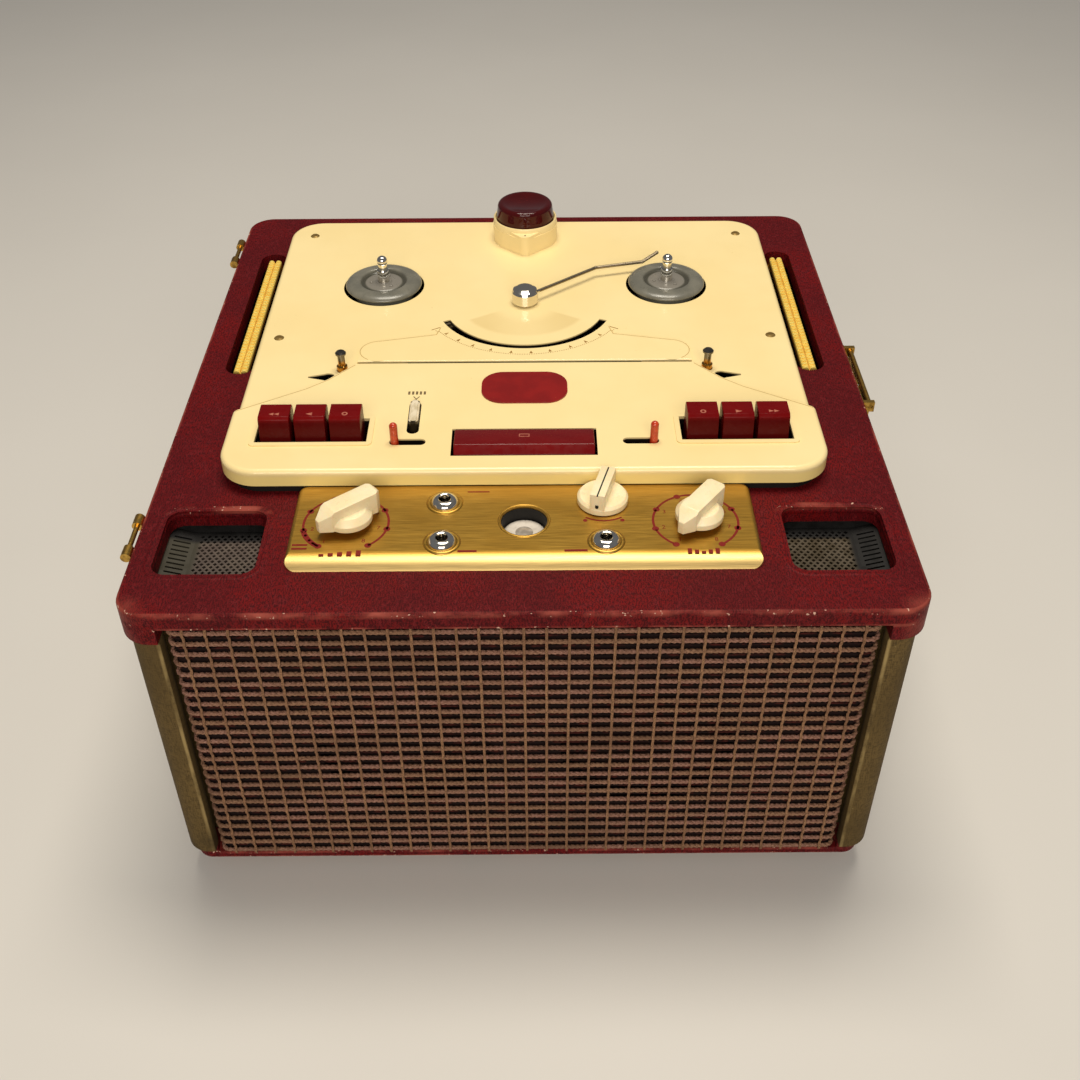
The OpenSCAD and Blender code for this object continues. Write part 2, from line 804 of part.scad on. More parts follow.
// Front cover over the keys, with a low rim round each key opening
module front_cover() {
    rim = 3;
    rim_h = 0.8;
    key_well_d = key_well[1] - key_well[0];
    key_well_y = (key_well[0] + key_well[1]) / 2;
    lever_slot_l = lever_travel + 2 * lever_r + 1.4;
    color("wheat") difference() {
        union() {
            intersection() {
                pressing(cover_w, cover_h, plate_h - sheet_t);
                translate([0, 0, deck_z - over]) linear_extrude(cover_h + 2 * over) cover_plan(0);
            }
            both_sides() translate([key_group_x, key_well_y, cover_z - over])
                linear_extrude(rim_h + over) rounded_rect(key_well_w + 2 * rim, key_well_d + 2 * rim, rim);
        }
        both_sides() translate([key_group_x, key_well_y, deck_z - over])
            linear_extrude(cover_h + 3 * over) square([key_well_w, key_well_d], center = true);
        translate([-stop_w / 2 - 1.5, stop_well[0], deck_z - over])
            cube([stop_w + 3, stop_well[1] - stop_well[0], cover_h + 3 * over]);
        both_sides() translate([lever_x - lever_travel / 2, lever_y, deck_z - over])
            linear_extrude(cover_h + 3 * over) capsule(lever_slot_l, lever_slot_w);
        translate([-pause_x, pause_y, deck_z - over]) rotate(90)
            linear_extrude(cover_h + 3 * over) capsule(pause_slot_l, pause_slot_w);
    }
}

// Low raised cover behind the tape slot, cut away round the gauge's scale
module head_cover() {
    nose = head_cover_h / 2;
    end_r = 12;
    end_x = slot_l / 2 - end_r;
    color("wheat") difference() {
        union() {
            translate([0, 0, plate_z]) linear_extrude(head_cover_h) {
                translate([-slot_l / 2, slot_rear + nose]) square([slot_l, end_r - nose]);
                both_sides() translate([end_x, slot_rear + end_r]) circle(end_r);
                polygon([
                    [-end_x, slot_rear + nose], [end_x, slot_rear + nose], [end_x, slot_rear + 2 * end_r],
                    [56, slot_rear + 31.5], [54, slot_rear + 41], [-54, slot_rear + 41],
                    [-56, slot_rear + 31.5], [-end_x, slot_rear + 2 * end_r]
                ]);
            }
            translate([0, slot_rear + nose, plate_z + nose]) rotate([0, 90, 0])
                cylinder(r = nose, h = slot_l, center = true);
        }
        translate([0, gauge_y, plate_z - over])
            cylinder(r = arc_r + arc_w + 2, h = head_cover_h + 2 * over);
    }
}

// Teardrop housing of the speed control
module speed_housing() {
    tip = 5;
    color("wheat") translate([0, speed_y, plate_z]) difference() {
        union() {
            linear_extrude(speed_h - 2) speed_plan(speed_r, tip);
            linear_extrude(speed_h) speed_plan(speed_r - 1.5, tip);
        }
        translate([0, 0, 2]) cylinder(r = stem_r + run_fit, h = speed_h);
    }
}

// Teardrop plan: a circle and a small round nose, joined by flanks that touch both
module speed_plan(r, tip) {
    run = speed_nose - tip;
    lean = asin((r - tip) / run);
    circle(r);
    translate([0, -run]) circle(tip);
    polygon([
        [-r * cos(lean), -r * sin(lean)], [-tip * cos(lean), -run - tip * sin(lean)],
        [tip * cos(lean), -run - tip * sin(lean)], [r * cos(lean), -r * sin(lean)]
    ]);
}

// Bare capsule plate on the front cover
module badge_plate() {
    color("firebrick") translate([0, slot_y - 30.5, cover_z]) linear_extrude(0.8) difference() {
        square([51, 33], center = true);
        for (x = [-1, 1], y = [-1, 1]) {
            translate([x * 25.5, y * 16.5]) difference() {
                square(26, center = true);
                translate([x * -13, y * -13]) circle(13);
                translate([x * -26, y * -13]) square(26, center = true);
                translate([x * -13, y * -26]) square(26, center = true);
            }
        }
    }
}

module deck_screws() {
    head_r = 3.2;
    head_h = 0.8;
    color("peru") both_sides() for (p = [screw_rear, screw_side]) {
        translate([p[0], p[1], plate_z]) difference() {
            union() {
                translate([0, 0, -plate_h]) cylinder(r = screw_r, h = plate_h);
                cylinder(r1 = head_r, r2 = head_r - 1, h = head_h);
            }
            translate([-head_r, -0.4, head_h - 0.5]) cube([2 * head_r, 0.8, head_h]);
        }
    }
}

// Turned posts that lead the tape into the slot
module guide_posts() {
    top = post_h + plate_z - floor_z;
    color("silver") both_sides() translate([post_x, post_y, floor_z]) rotate_extrude() polygon([
        [0, 0], [post_r, 0], [post_r, top - 10], [post_r - 1.1, top - 9.2], [post_r - 1.1, top - 2.6],
        [post_r, top - 1.8], [post_r, top - 0.8], [post_r - 0.8, top], [0, top]
    ]);
}

// Side section of the control panel: flat top and rolled front edge, g thinner all round
module panel_section(g) {
    r = roll_r - g;
    roll_y = panel_y0 + sqrt(pow(roll_r, 2) - pow(roll_r - panel_h, 2));
    translate([roll_y, case_h - over]) square([panel_y1 - roll_y - g, panel_h + over - g]);
    intersection() {
        translate([roll_y, panel_z - roll_r]) circle(r);
        translate([roll_y - roll_r, case_h - over]) square([roll_r + over, panel_h + over]);
    }
}

module panel_bar(g) {
    translate([-panel_w / 2, 0, 0]) rotate([90, 0, 90]) linear_extrude(panel_w) panel_section(g);
}

// Gilt panel with a rolled front edge and lipped holes
module control_panel() {
    lip = 0.9;
    color("goldenrod") difference() {
        union() {
            intersection() {
                translate([0, panel_mid, case_h]) soft_slab(panel_w, panel_d, panel_h, panel_r, 2.4);
                panel_bar(0);
            }
            translate([0, eye_y, panel_z - lip / 2])
                rotate_extrude() translate([eye_r + lip, 0]) circle(lip);
        }
        intersection() {
            translate([0, panel_mid, case_h - over]) linear_extrude(panel_h)
                rounded_rect(panel_w - 2 * panel_t, panel_d - 2 * panel_t, panel_r - panel_t);
            panel_bar(panel_t);
        }
        for (x = [-pot_x, pot_x]) {
            translate([x, pot_y, case_h]) cylinder(r = stem_r + 1, h = panel_h + over);
        }
        translate([selector_x, selector_y, case_h]) cylinder(r = stem_r + 1, h = panel_h + over);
        for (p = jacks) {
            translate([p[0], p[1], case_h]) cylinder(r = bush_r + side_fit, h = panel_h + over);
        }
        translate([0, eye_y, case_h]) cylinder(r = eye_r, h = panel_h + 2 * over);
    }
}

// Phone jacks: bright bowl on the panel, barrel and nut below it
module jack_sockets() {
    low = panel_z + jack_rise - jack_bore_l;
    color("silver") for (p = jacks) {
        translate([p[0], p[1], 0]) rotate_extrude() polygon([
            [0, low - 1.5], [bush_r, low - 1.5], [bush_r, panel_under - 3], [jack_r, panel_under - 3],
            [jack_r, panel_under], [bush_r, panel_under], [bush_r, panel_z], [jack_r, panel_z],
            [jack_r, panel_z + 0.8], [jack_r - 1.2, panel_z + 1.6], [jack_bore_r + 1, panel_z + jack_rise],
            [jack_bore_r, panel_z + jack_rise], [jack_bore_r, low], [0, low]
        ]);
    }
}

// Tuning indicator valve, screen end up, in its black shield under the panel
module eye_tube() {
    top = panel_z - 8;
    r = eye_r - 0.9;
    color("gainsboro") translate([0, eye_y, 0]) rotate_extrude() polygon([
        [0, top - 62], [r - 3, top - 62], [r - 3, top - 50], [r, top - 48], [r, top - 2],
        [r - 2, top - 0.4], [0, top]
    ]);
}

module eye_shield() {
    color("black") translate([0, eye_y, panel_under - 16]) difference() {
        cylinder(r = eye_r + 2.5, h = 16);
        translate([0, 0, -over]) cylinder(r = eye_r - 0.9 + side_fit, h = 16 + 2 * over);
    }
}

// Rotary control under the panel with a bore for the knob's stem
module rotary_control(r, h) {
    difference() {
        union() {
            translate([0, 0, panel_under - 4]) cylinder(r = bush_r, h = 4);
            translate([0, 0, panel_under - 4 - h]) cylinder(r = r, h = h);
            for (a = [-25, 0, 25]) {
                rotate(a) translate([-1.2, r - over, panel_under - 2 - h]) cube([2.4, 6, 1]);
            }
        }
        translate([0, 0, stem_z - over]) cylinder(r = stem_r + run_fit, h = stem_l + 2 * over);
    }
}

module control_pots() {
    color("lightsteelblue") for (x = [-pot_x, pot_x]) {
        translate([x, pot_y, 0]) rotary_control(pot_r, 15);
    }
}

module selector_switch() {
    color("tan") translate([selector_x, selector_y, 0]) rotary_control(10, 20);
}

// Shaft lug standing on the chassis floor
module lug(x, y, z) {
    translate([x - 1.5, y - 5, floor_z - 0.5]) cube([3, 10, z + 5 - floor_z]);
}

// Flanged tray that carries the mechanism, with its bosses, lugs, shafts and rails
module deck_chassis() {
    lug_in = key_group_x - key_well_w / 2 - 3;
    lug_out = key_group_x + key_well_w / 2 + 0.5;
    color("slategray") difference() {
        union() {
            chassis_tray();
            both_sides() {
                translate([reel_x, reel_y, chassis_z])
                    cylinder(r = table_shaft_r + 4, h = boss_z - chassis_z);
                translate([capstan_x, capstan_y, chassis_z - 4]) cylinder(r = 6, h = 12);
                translate([capstan_x, pinch_y, chassis_z])
                    cylinder(r = pinch_pin_r, h = sheet_z - 3 - chassis_z);
                translate([capstan_x, pinch_y, chassis_z]) cylinder(r = 4, h = 9);
                for (p = [screw_rear, screw_side]) {
                    translate([p[0], p[1], case_h]) cylinder(r = 4, h = sheet_z - case_h);
                }
                lug(lug_in, key_pivot_y, key_pivot_z);
                lug(lug_out, key_pivot_y, key_pivot_z);
                translate([lug_in, key_pivot_y, key_pivot_z]) rotate([0, 90, 0])
                    cylinder(r = key_shaft_r, h = lug_out - lug_in);
                lug(stop_w / 2 + 6, stop_pivot_y, stop_pivot_z);
                translate([lever_x - lever_travel / 2 - 15, lever_y - 4, floor_z - 0.5])
                    cube([30, 8, slider_z - side_fit - floor_z + 0.5]);
            }
            translate([0, gauge_y, chassis_z]) cylinder(r = 7, h = boss_z - 6 - chassis_z);
            translate([0, stop_pivot_y, stop_pivot_z]) rotate([0, 90, 0])
                cylinder(r = key_shaft_r, h = stop_w + 12, center = true);
            translate([-pause_x - 4, pause_y - 15, floor_z - 0.5])
                cube([8, 30, slider_z - side_fit - floor_z + 0.5]);
        }
        both_sides() {
            translate([reel_x, reel_y, chassis_z - over]) cylinder(r = table_shaft_r + run_fit, h = boss_z);
            translate([capstan_x, capstan_y, chassis_z - 5]) cylinder(r = capstan_r + run_fit, h = 20);
            for (p = [screw_rear, screw_side]) {
                translate([p[0], p[1], deck_z - over]) cylinder(r = screw_r + 0.05, h = plate_h + 2 * over);
            }
        }
        translate([0, gauge_y, chassis_z - over]) cylinder(r = stem_r + run_fit, h = boss_z);
    }
}

module chassis_tray() {
    difference() {
        union() {
            translate([0, hole_y, chassis_z]) linear_extrude(case_h - chassis_z + flange_t)
                square([hole_w - 2 * side_fit, hole_d - 2 * side_fit], center = true);
            translate([0, hole_y, case_h]) linear_extrude(flange_t)
                square([hole_w + 2 * flange_w, hole_d + 2 * flange_w], center = true);
        }
        translate([0, hole_y, floor_z]) linear_extrude(case_h)
            square([
                hole_w - 2 * side_fit - 2 * chassis_t, hole_d - 2 * side_fit - 2 * chassis_t
            ], center = true);
    }
}

// Record and erase heads for each tape direction, on one bridge
module tape_heads() {
    head = [14, 10, 13];
    color("silver") {
        translate([-46, slot_rear + 1, floor_z]) cube([92, 14, 2]);
        for (x = [-36, -14, 14, 36]) {
            translate([x - head[0] / 2, slot_rear + 1.5, floor_z + 2]) cube(head);
            translate([x, slot_rear + 1.5, floor_z + 2]) cylinder(r = 3, h = head[2]);
        }
    }
}

// Two drive motors hung under the chassis, one below each reel table
module drive_motors() {
    color("darkgray") both_sides() translate([reel_x, reel_y, chassis_z - motor_gap]) {
        translate([0, 0, -motor_h]) cylinder(r = motor_r, h = motor_h);
        translate([0, 0, -motor_h - motor_cap]) cylinder(r = motor_r - 12, h = motor_cap + over);
        translate([0, 0, -over]) difference() {
            cylinder(r = motor_r - 4, h = motor_gap + over);
            translate([0, 0, over]) cylinder(r = motor_r - 8, h = motor_gap + over);
        }
    }
}

// Folded steel amplifier chassis, open below
module amplifier_chassis() {
    color("gray") translate([0, amp_y, wall_z]) difference() {
        translate([-amp_w / 2, 0, 0]) cube([amp_w, amp_d, amp_h]);
        translate([amp_t - amp_w / 2, amp_t, -over])
            cube([amp_w - 2 * amp_t, amp_d - 2 * amp_t, amp_h - amp_t + over]);
    }
}

// Glass valves on the amplifier chassis
module valves() {
    color("lightcyan") for (i = [-1.75, -0.75, 0.25, 1.25]) {
        translate([i * amp_w / 5, amp_y + amp_d / 2, wall_z + amp_h]) rotate_extrude() polygon([
            [0, 0], [valve_r + 2.5, 0], [valve_r + 2.5, 8], [valve_r, 8], [valve_r, valve_h - 12],
            [valve_r - 2.5, valve_h - 7], [2, valve_h - 4], [1, valve_h], [0, valve_h]
        ]);
    }
}

// Mains and output transformers on the base board
module transformers() {
    color("darkslategray") {
        translate([amp_w / 3, wall_d / 2 - 65, wall_z])
            transformer(0.28 * amp_w, 0.61 * amp_d, 1.6 * amp_h);
        translate([-0.43 * amp_w, wall_d / 2 - 60, wall_z])
            transformer(0.2 * amp_w, 0.43 * amp_d, 1.2 * amp_h);
    }
}

module transformer(w, d, h) {
    translate([-w / 2, -d / 4, 0]) cube([w, d / 2, h]);
    translate([-w / 3, -d / 2, h * 0.18]) cube([w * 2 / 3, d, h * 0.64]);
}

// Two loudspeakers against the baffle: pressed baskets with magnets, and paper cones
module loudspeakers() {
    cone_r = aperture_r + 2;
    color("dimgray") both_sides() translate([speaker_x, baffle_back, speaker_z]) along_y() {
        translate([0, 0, surround_t]) rotate_extrude() polygon([
            [cone_r + 1, 0], [speaker_r, 0], [speaker_r, 2], [cone_r + 4, 2], [magnet_r + 6, basket_d],
            [magnet_r, basket_d], [magnet_r, basket_d + magnet_l], [0, basket_d + magnet_l],
            [0, basket_d - 2], [magnet_r + 4, basket_d - 2], [cone_r + 1, 2]
        ]);
        rotate_extrude() polygon([
            [cone_r - 2, 0], [speaker_r, 0], [speaker_r, surround_t], [cone_r - 1, surround_t],
            [14, basket_d - 4], [0, basket_d - 4], [0, basket_d - 5], [13.5, basket_d - 5]
        ]);
    }
}

// Brass lift-off hinge halves on the left of the band
module hinge_leaves() {
    gap = hinge_l / 2 - 8;
    color("darkgoldenrod") for (y = [front_y + hinge_front, -front_y - hinge_rear]) {
        translate([-case_w / 2, y, 0]) {
            translate([-hinge_t, -hinge_l / 2, band_z + 1]) cube([hinge_t, hinge_l, band_h - 6]);
            for (s = [-1, 1]) {
                translate([-knuckle_r, s > 0 ? gap : -hinge_l / 2, case_h - 2]) along_y()
                    cylinder(r = knuckle_r, h = 8);
                translate([-hinge_t, s > 0 ? gap : -hinge_l / 2, case_h - 6]) cube([hinge_t, 8, 4]);
            }
            translate([-knuckle_r, -hinge_l / 2, case_h - 2]) along_y()
                cylinder(r = hinge_pin_r, h = hinge_l);
        }
    }
}

// Brass latch plate on the right of the band, with ears for its lever
module latch_plate() {
    ear = 3;
    color("darkgoldenrod") difference() {
        union() {
            translate([case_w / 2, -latch_l / 2, band_z + 2]) cube([latch_t, latch_l, band_h - 6]);
            for (s = [-1, 1]) {
                translate([case_w / 2, s > 0 ? latch_l / 2 - 8 : 8 - ear - latch_l / 2, latch_z - 4])
                    cube([latch_x - case_w / 2 + 2.6, ear, 6.6]);
            }
        }
        translate([latch_x, -latch_l, latch_z]) along_y()
            cylinder(r = latch_pin_r + run_fit, h = 2 * latch_l);
    }
}

// Hinged latch lever with a square catch hole
module latch_lever() {
    half = latch_l / 2 - 8 - side_fit;
    color("darkgoldenrod") difference() {
        union() {
            translate([latch_x - 0.8, -half, latch_z - 17]) cube([1.6, 2 * half, 17]);
            translate([latch_x, -half - 3, latch_z]) along_y() cylinder(r = latch_pin_r, h = 2 * half + 6);
        }
        translate([latch_x - 5, -3.5, latch_z - 10]) cube([10, 7, 6]);
        translate([latch_x, 9, latch_z - 7]) rotate([0, 90, 0]) cylinder(r = 1.8, h = 10, center = true);
    }
}

// Brackets that carry the handle on the right wall
module handle_brackets() {
    color("darkgoldenrod") both_ends() difference() {
        translate([wall_w / 2, handle_l / 2 - bracket_l, handle_z - 8])
            cube([handle_x - wall_w / 2 + 4, bracket_l, 16]);
        translate([handle_x, handle_l / 2 - bracket_l - over, handle_z]) along_y()
            cylinder(r = handle_pin_r + run_fit, h = bracket_l - 1);
    }
}

module both_ends() {
    children();
    mirror([0, 1, 0]) children();
}

// Drop handle that hangs flat against the wall
module handle() {
    arm_y = handle_l / 2 - bracket_l - 1 - arm_t;
    color("saddlebrown") {
        both_ends() {
            translate([handle_x - 3, arm_y, handle_z - handle_drop]) cube([6, arm_t, handle_drop + 3]);
            translate([handle_x, arm_y + arm_t - over, handle_z]) along_y()
                cylinder(r = handle_pin_r, h = bracket_l - 1);
        }
        translate([handle_x, -arm_y - arm_t, handle_z - handle_drop]) along_y()
            cylinder(r = grip_r, h = 2 * (arm_y + arm_t));
    }
}

// Recessed two-pin mains inlet in the rear wall
module mains_inlet() {
    depth = 20;
    color("black") translate([inlet_x, wall_d / 2, inlet_z]) along_y() {
        difference() {
            union() {
                cylinder(r = inlet_r + 3, h = wall_inset - 0.5);
                translate([0, 0, -depth]) cylinder(r = inlet_r, h = depth);
            }
            translate([0, 0, 3 - depth]) cylinder(r = inlet_r - 3, h = depth + wall_inset);
        }
        for (s = [-1, 1]) {
            translate([s * 5, 0, 2 - depth]) cylinder(r = 1.6, h = depth - 4);
        }
    }
}

// Reel table on its shaft: flat middle, a groove and a domed outer ring
module reel_table(side) {
    low = chassis_z - 5;
    under = boss_z + 1;
    groove = [0.42 * table_r, 0.56 * table_r];
    color("gray") translate([side * reel_x, reel_y, 0]) rotate_extrude() polygon([
        [0, low], [table_shaft_r, low], [table_shaft_r, under], [table_r - 2, under],
        [table_r, under + 1.5], [table_r, plate_z], [0.97 * table_r, plate_z + 0.35 * table_rise],
        [0.86 * table_r, plate_z + 0.75 * table_rise], [0.72 * table_r, table_z],
        [groove[1] + 1.5, table_z], [groove[1], table_z - 0.6], [groove[1] - 0.6, table_z - 2],
        [groove[0] + 0.6, table_z - 2], [groove[0], seat_z], [0, seat_z]
    ]);
}

module reel_table_left() {
    reel_table(-1);
}

module reel_table_right() {
    reel_table(1);
}

// Bright reel spindle with a ball top
module spindle(side) {
    neck = spindle_r - 0.95;
    ball = spindle_r - 0.4;
    color("white") translate([side * reel_x, reel_y, seat_z]) {
        cylinder(r = spindle_r, h = spindle_seat);
        cylinder(r = neck, h = spindle_h - ball);
        translate([0, 0, spindle_h - ball]) sphere(ball);
    }
}

module spindle_left() {
    spindle(-1);
}

module spindle_right() {
    spindle(1);
}

// Clear red speed knob with a round top
module speed_knob() {
    color("darkred") translate([0, speed_y, plate_z + speed_h + 0.5]) {
        rotate_extrude() polygon([
            [0, 0], [speed_knob_r, 0], [speed_knob_r, 3], [speed_knob_r - 1, speed_knob_h - 3],
            [speed_knob_r - 3, speed_knob_h - 0.8], [speed_knob_r - 6, speed_knob_h], [0, speed_knob_h]
        ]);
        translate([0, 0, 0.5 - speed_h + 3]) cylinder(r = stem_r, h = speed_h - 3);
    }
}

// Tape gauge: bright cap, wire arm above the deck and pointer below it
module gauge_arm() {
    color("silver") translate([0, gauge_y, 0]) {
        translate([0, 0, plate_z + 0.4]) rotate_extrude() polygon([
            [0, 0], [hub_r - 1.2, 0], [hub_r, 1.2], [hub_r, hub_h - 3.6], [hub_r - 0.8, hub_h - 2],
            [hub_r - 3.2, hub_h - 0.6], [0, hub_h]
        ]);
        translate([0, 0, chassis_z + 3]) cylinder(r = stem_r, h = plate_z - chassis_z);
        translate([0, 0, wire_z]) for (i = [0 : len(wire_path) - 2]) {
            wire(wire_path[i], wire_path[i + 1], wire_r);
        }
        rotate(pointer_turn) {
            translate([0, -2, pointer_z]) cube([arc_r + arc_w - 1, 4, pointer_t]);
            translate([arc_r + 1, -1, pointer_z]) cube([arc_w - 2, 2, pointer_t + sheet_t]);
        }
    }
}

// Side section of a key: bevelled cap in front and its arm to the pivot
module key_section() {
    bevel = 1.6;
    lean = 1.9;
    top = cover_z + key_h;
    polygon([
        [key_front, case_h + 4], [key_front, cover_z], [key_front + lean, top - bevel],
        [key_front + lean + bevel, top], [key_front + lean + key_d - bevel, top],
        [key_front + lean + key_d, top - bevel], [key_front + key_d + 3, deck_z + 3],
        [key_front + key_d + 3, case_h + 4]
    ]);
}

module key(place) {
    root = key_front + key_d + 2;
    difference() {
        translate([place, 0, 0]) union() {
            translate([-key_w / 2, 0, 0]) rotate([90, 0, 90]) linear_extrude(key_w) key_section();
            translate([-arm_w / 2, root, key_pivot_z - 4]) cube([arm_w, key_pivot_y - root, 8]);
            translate([0, key_pivot_y, key_pivot_z]) rotate([0, 90, 0])
                cylinder(r = key_shaft_r + 2.5, h = arm_w, center = true);
        }
        translate([place, key_pivot_y, key_pivot_z]) rotate([0, 90, 0])
            cylinder(r = key_shaft_r + run_fit, h = 2 * key_w, center = true);
    }
}

module fast_key_left() {
    color("maroon") key(-key_group_x - key_pitch);
}

module play_key_left() {
    color("maroon") key(-key_group_x);
}

module record_key_left() {
    color("maroon") key(-key_group_x + key_pitch);
}

module record_key_right() {
    color("maroon") key(key_group_x - key_pitch);
}

module play_key_right() {
    color("maroon") key(key_group_x);
}

module fast_key_right() {
    color("maroon") key(key_group_x + key_pitch);
}

// Wide stop bar with a ridge, on two arms
module stop_bar() {
    ridge = cover_z + stop_rise;
    low = deck_z + 3;
    back = stop_front + stop_d;
    color("maroon") difference() {
        union() {
            translate([-stop_w / 2, 0, 0]) rotate([90, 0, 90]) linear_extrude(stop_w) polygon([
                [stop_front, low], [stop_front, cover_z - 1.5], [stop_front + 5, ridge],
                [back, ridge - 1.5], [back, low]
            ]);
            both_sides() {
                translate([stop_w / 2 - arm_w - 2, back - 6, stop_pivot_z])
                    cube([arm_w, 6, low + 2 - stop_pivot_z]);
                translate([stop_w / 2 - arm_w - 2, back - 6, stop_pivot_z - 3.5])
                    cube([arm_w, stop_pivot_y - back + 6, 7]);
                translate([stop_w / 2 - arm_w / 2 - 2, stop_pivot_y, stop_pivot_z]) rotate([0, 90, 0])
                    cylinder(r = key_shaft_r + 2.5, h = arm_w, center = true);
            }
        }
        translate([0, stop_pivot_y, stop_pivot_z]) rotate([0, 90, 0])
            cylinder(r = key_shaft_r + run_fit, h = stop_w + 2 * over, center = true);
    }
}

// Round-topped record lever on its slider
module record_lever(side) {
    color("orangered") translate([side * lever_x, lever_y, slider_z]) {
        translate([-6, -4, 0]) cube([12, 8, slider_t]);
        cylinder(r = lever_r, h = cover_z + lever_h - lever_r - slider_z);
        translate([0, 0, cover_z + lever_h - lever_r - slider_z]) sphere(lever_r);
    }
}

module record_lever_left() {
    record_lever(-1);
}

module record_lever_right() {
    record_lever(1);
}

// Pause slide with a domed finger piece
module pause_key() {
    top = cover_z + 3 - slider_z;
    color("ivory") translate([-pause_x, pause_y + pause_start, slider_z]) {
        translate([-4, -11, 0]) cube([8, 22, slider_t]);
        rotate(90) linear_extrude(top - 1) capsule(pause_l, pause_w);
        rotate(90) linear_extrude(top) capsule(pause_l - 2, pause_w - 2);
    }
}

// Pointer knob: round foot, bar with a sloping nose, and stem
module pointer_knob(turn) {
    bar = 11;
    half = knob_l / 2;
    color("ivory") rotate(turn) {
        translate([0, 0, knob_z]) {
            rotate_extrude() polygon([[0, 0], [knob_r, 0], [knob_r, 3], [knob_r - 3, 6.5], [0, 7]]);
            intersection() {
                translate([0, bar / 2, 0]) rotate([90, 0, 0]) linear_extrude(bar) polygon([
                    [-half, 0], [half, 0], [half, knob_h * 0.55], [half - 8, knob_h - 0.8],
                    [-half + 2, knob_h], [-half, knob_h - 2]
                ]);
                linear_extrude(knob_h + over) polygon([
                    [-half, -bar / 2 + 3.5], [-half + 3.5, -bar / 2], [half - 6, -bar / 2], [half, -1.6],
                    [half, 1.6], [half - 6, bar / 2], [-half + 3.5, bar / 2], [-half, bar / 2 - 3.5]
                ]);
            }
        }
        translate([0, 0, stem_z]) cylinder(r = stem_r, h = knob_z + 2 - stem_z);
    }
}

module volume_knob() {
    translate([-pot_x, pot_y, 0]) pointer_knob(217);
}

module tone_knob() {
    translate([pot_x, pot_y, 0]) pointer_knob(232);
}

// Selector knob: flat disc with a finger bar across it
module selector_knob() {
    bar = [2 * selector_r + 0.4, 8, 13];
    color("ivory") translate([selector_x, selector_y, 0]) rotate(254) {
        translate([0, 0, disc_z]) {
            rotate_extrude()
                polygon([[0, 0], [selector_r, 0], [selector_r, 3], [selector_r - 1.3, 4.5], [0, 4.5]]);
            difference() {
                translate([-bar[0] / 2 + 0.6, -bar[1] / 2, 3]) cube([bar[0] - 1.2, bar[1], bar[2] - 3]);
                translate([-bar[0] / 2, -0.4, bar[2] - 0.8]) cube([bar[0], 0.8, 2]);
            }
        }
        translate([0, 0, stem_z]) cylinder(r = stem_r, h = disc_z + 2 - stem_z);
    }
}

// Flywheel with its capstan, below the chassis
module flywheel(side) {
    top = chassis_z - 6;
    color("slategray") translate([side * capstan_x, capstan_y, 0]) {
        rotate_extrude() polygon([
            [0, top - flywheel_t], [flywheel_r, top - flywheel_t], [flywheel_r, top], [flywheel_r - 8, top],
            [flywheel_r - 8, top - flywheel_t + 5], [9, top - flywheel_t + 5], [9, top], [0, top]
        ]);
        translate([0, 0, top - 1]) cylinder(r = capstan_r, h = sheet_z - 2 - top);
    }
}

module flywheel_left() {
    flywheel(-1);
}

module flywheel_right() {
    flywheel(1);
}

// Rubber pinch roller on its chassis pin
module pinch_roller(side) {
    color("black") translate([side * capstan_x, pinch_y, chassis_z + 9.3]) difference() {
        cylinder(r = pinch_r, h = 13);
        translate([0, 0, -over]) cylinder(r = pinch_pin_r + run_fit, h = 13 + 2 * over);
    }
}

module pinch_roller_left() {
    pinch_roller(-1);
}

module pinch_roller_right() {
    pinch_roller(1);
}

case_walls();
top_board();
base_board();
rubber_feet();
baffle_board();
grille_cords();
grille_strands();
vent_trays();
side_vents();
deck_plinth();
deck_plate();
front_cover();
head_cover();
speed_housing();
badge_plate();
deck_screws();
guide_posts();
control_panel();
jack_sockets();
eye_tube();
eye_shield();
control_pots();
selector_switch();
deck_chassis();
tape_heads();
drive_motors();
amplifier_chassis();
valves();
transformers();
loudspeakers();
hinge_leaves();
latch_plate();
handle_brackets();
mains_inlet();
reel_table_left();
reel_table_right();
spindle_left();
spindle_right();
speed_knob();
gauge_arm();
fast_key_left();
play_key_left();
record_key_left();
record_key_right();
play_key_right();
fast_key_right();
stop_bar();
record_lever_left();
record_lever_right();
pause_key();
volume_knob();
tone_knob();
selector_knob();
latch_lever();
handle();
flywheel_left();
flywheel_right();
pinch_roller_left();
pinch_roller_right();
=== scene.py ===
from math import cos, pi, radians, sin

import bmesh
import bpy
from mathutils import Matrix, Vector
from mathutils.bvhtree import BVHTree


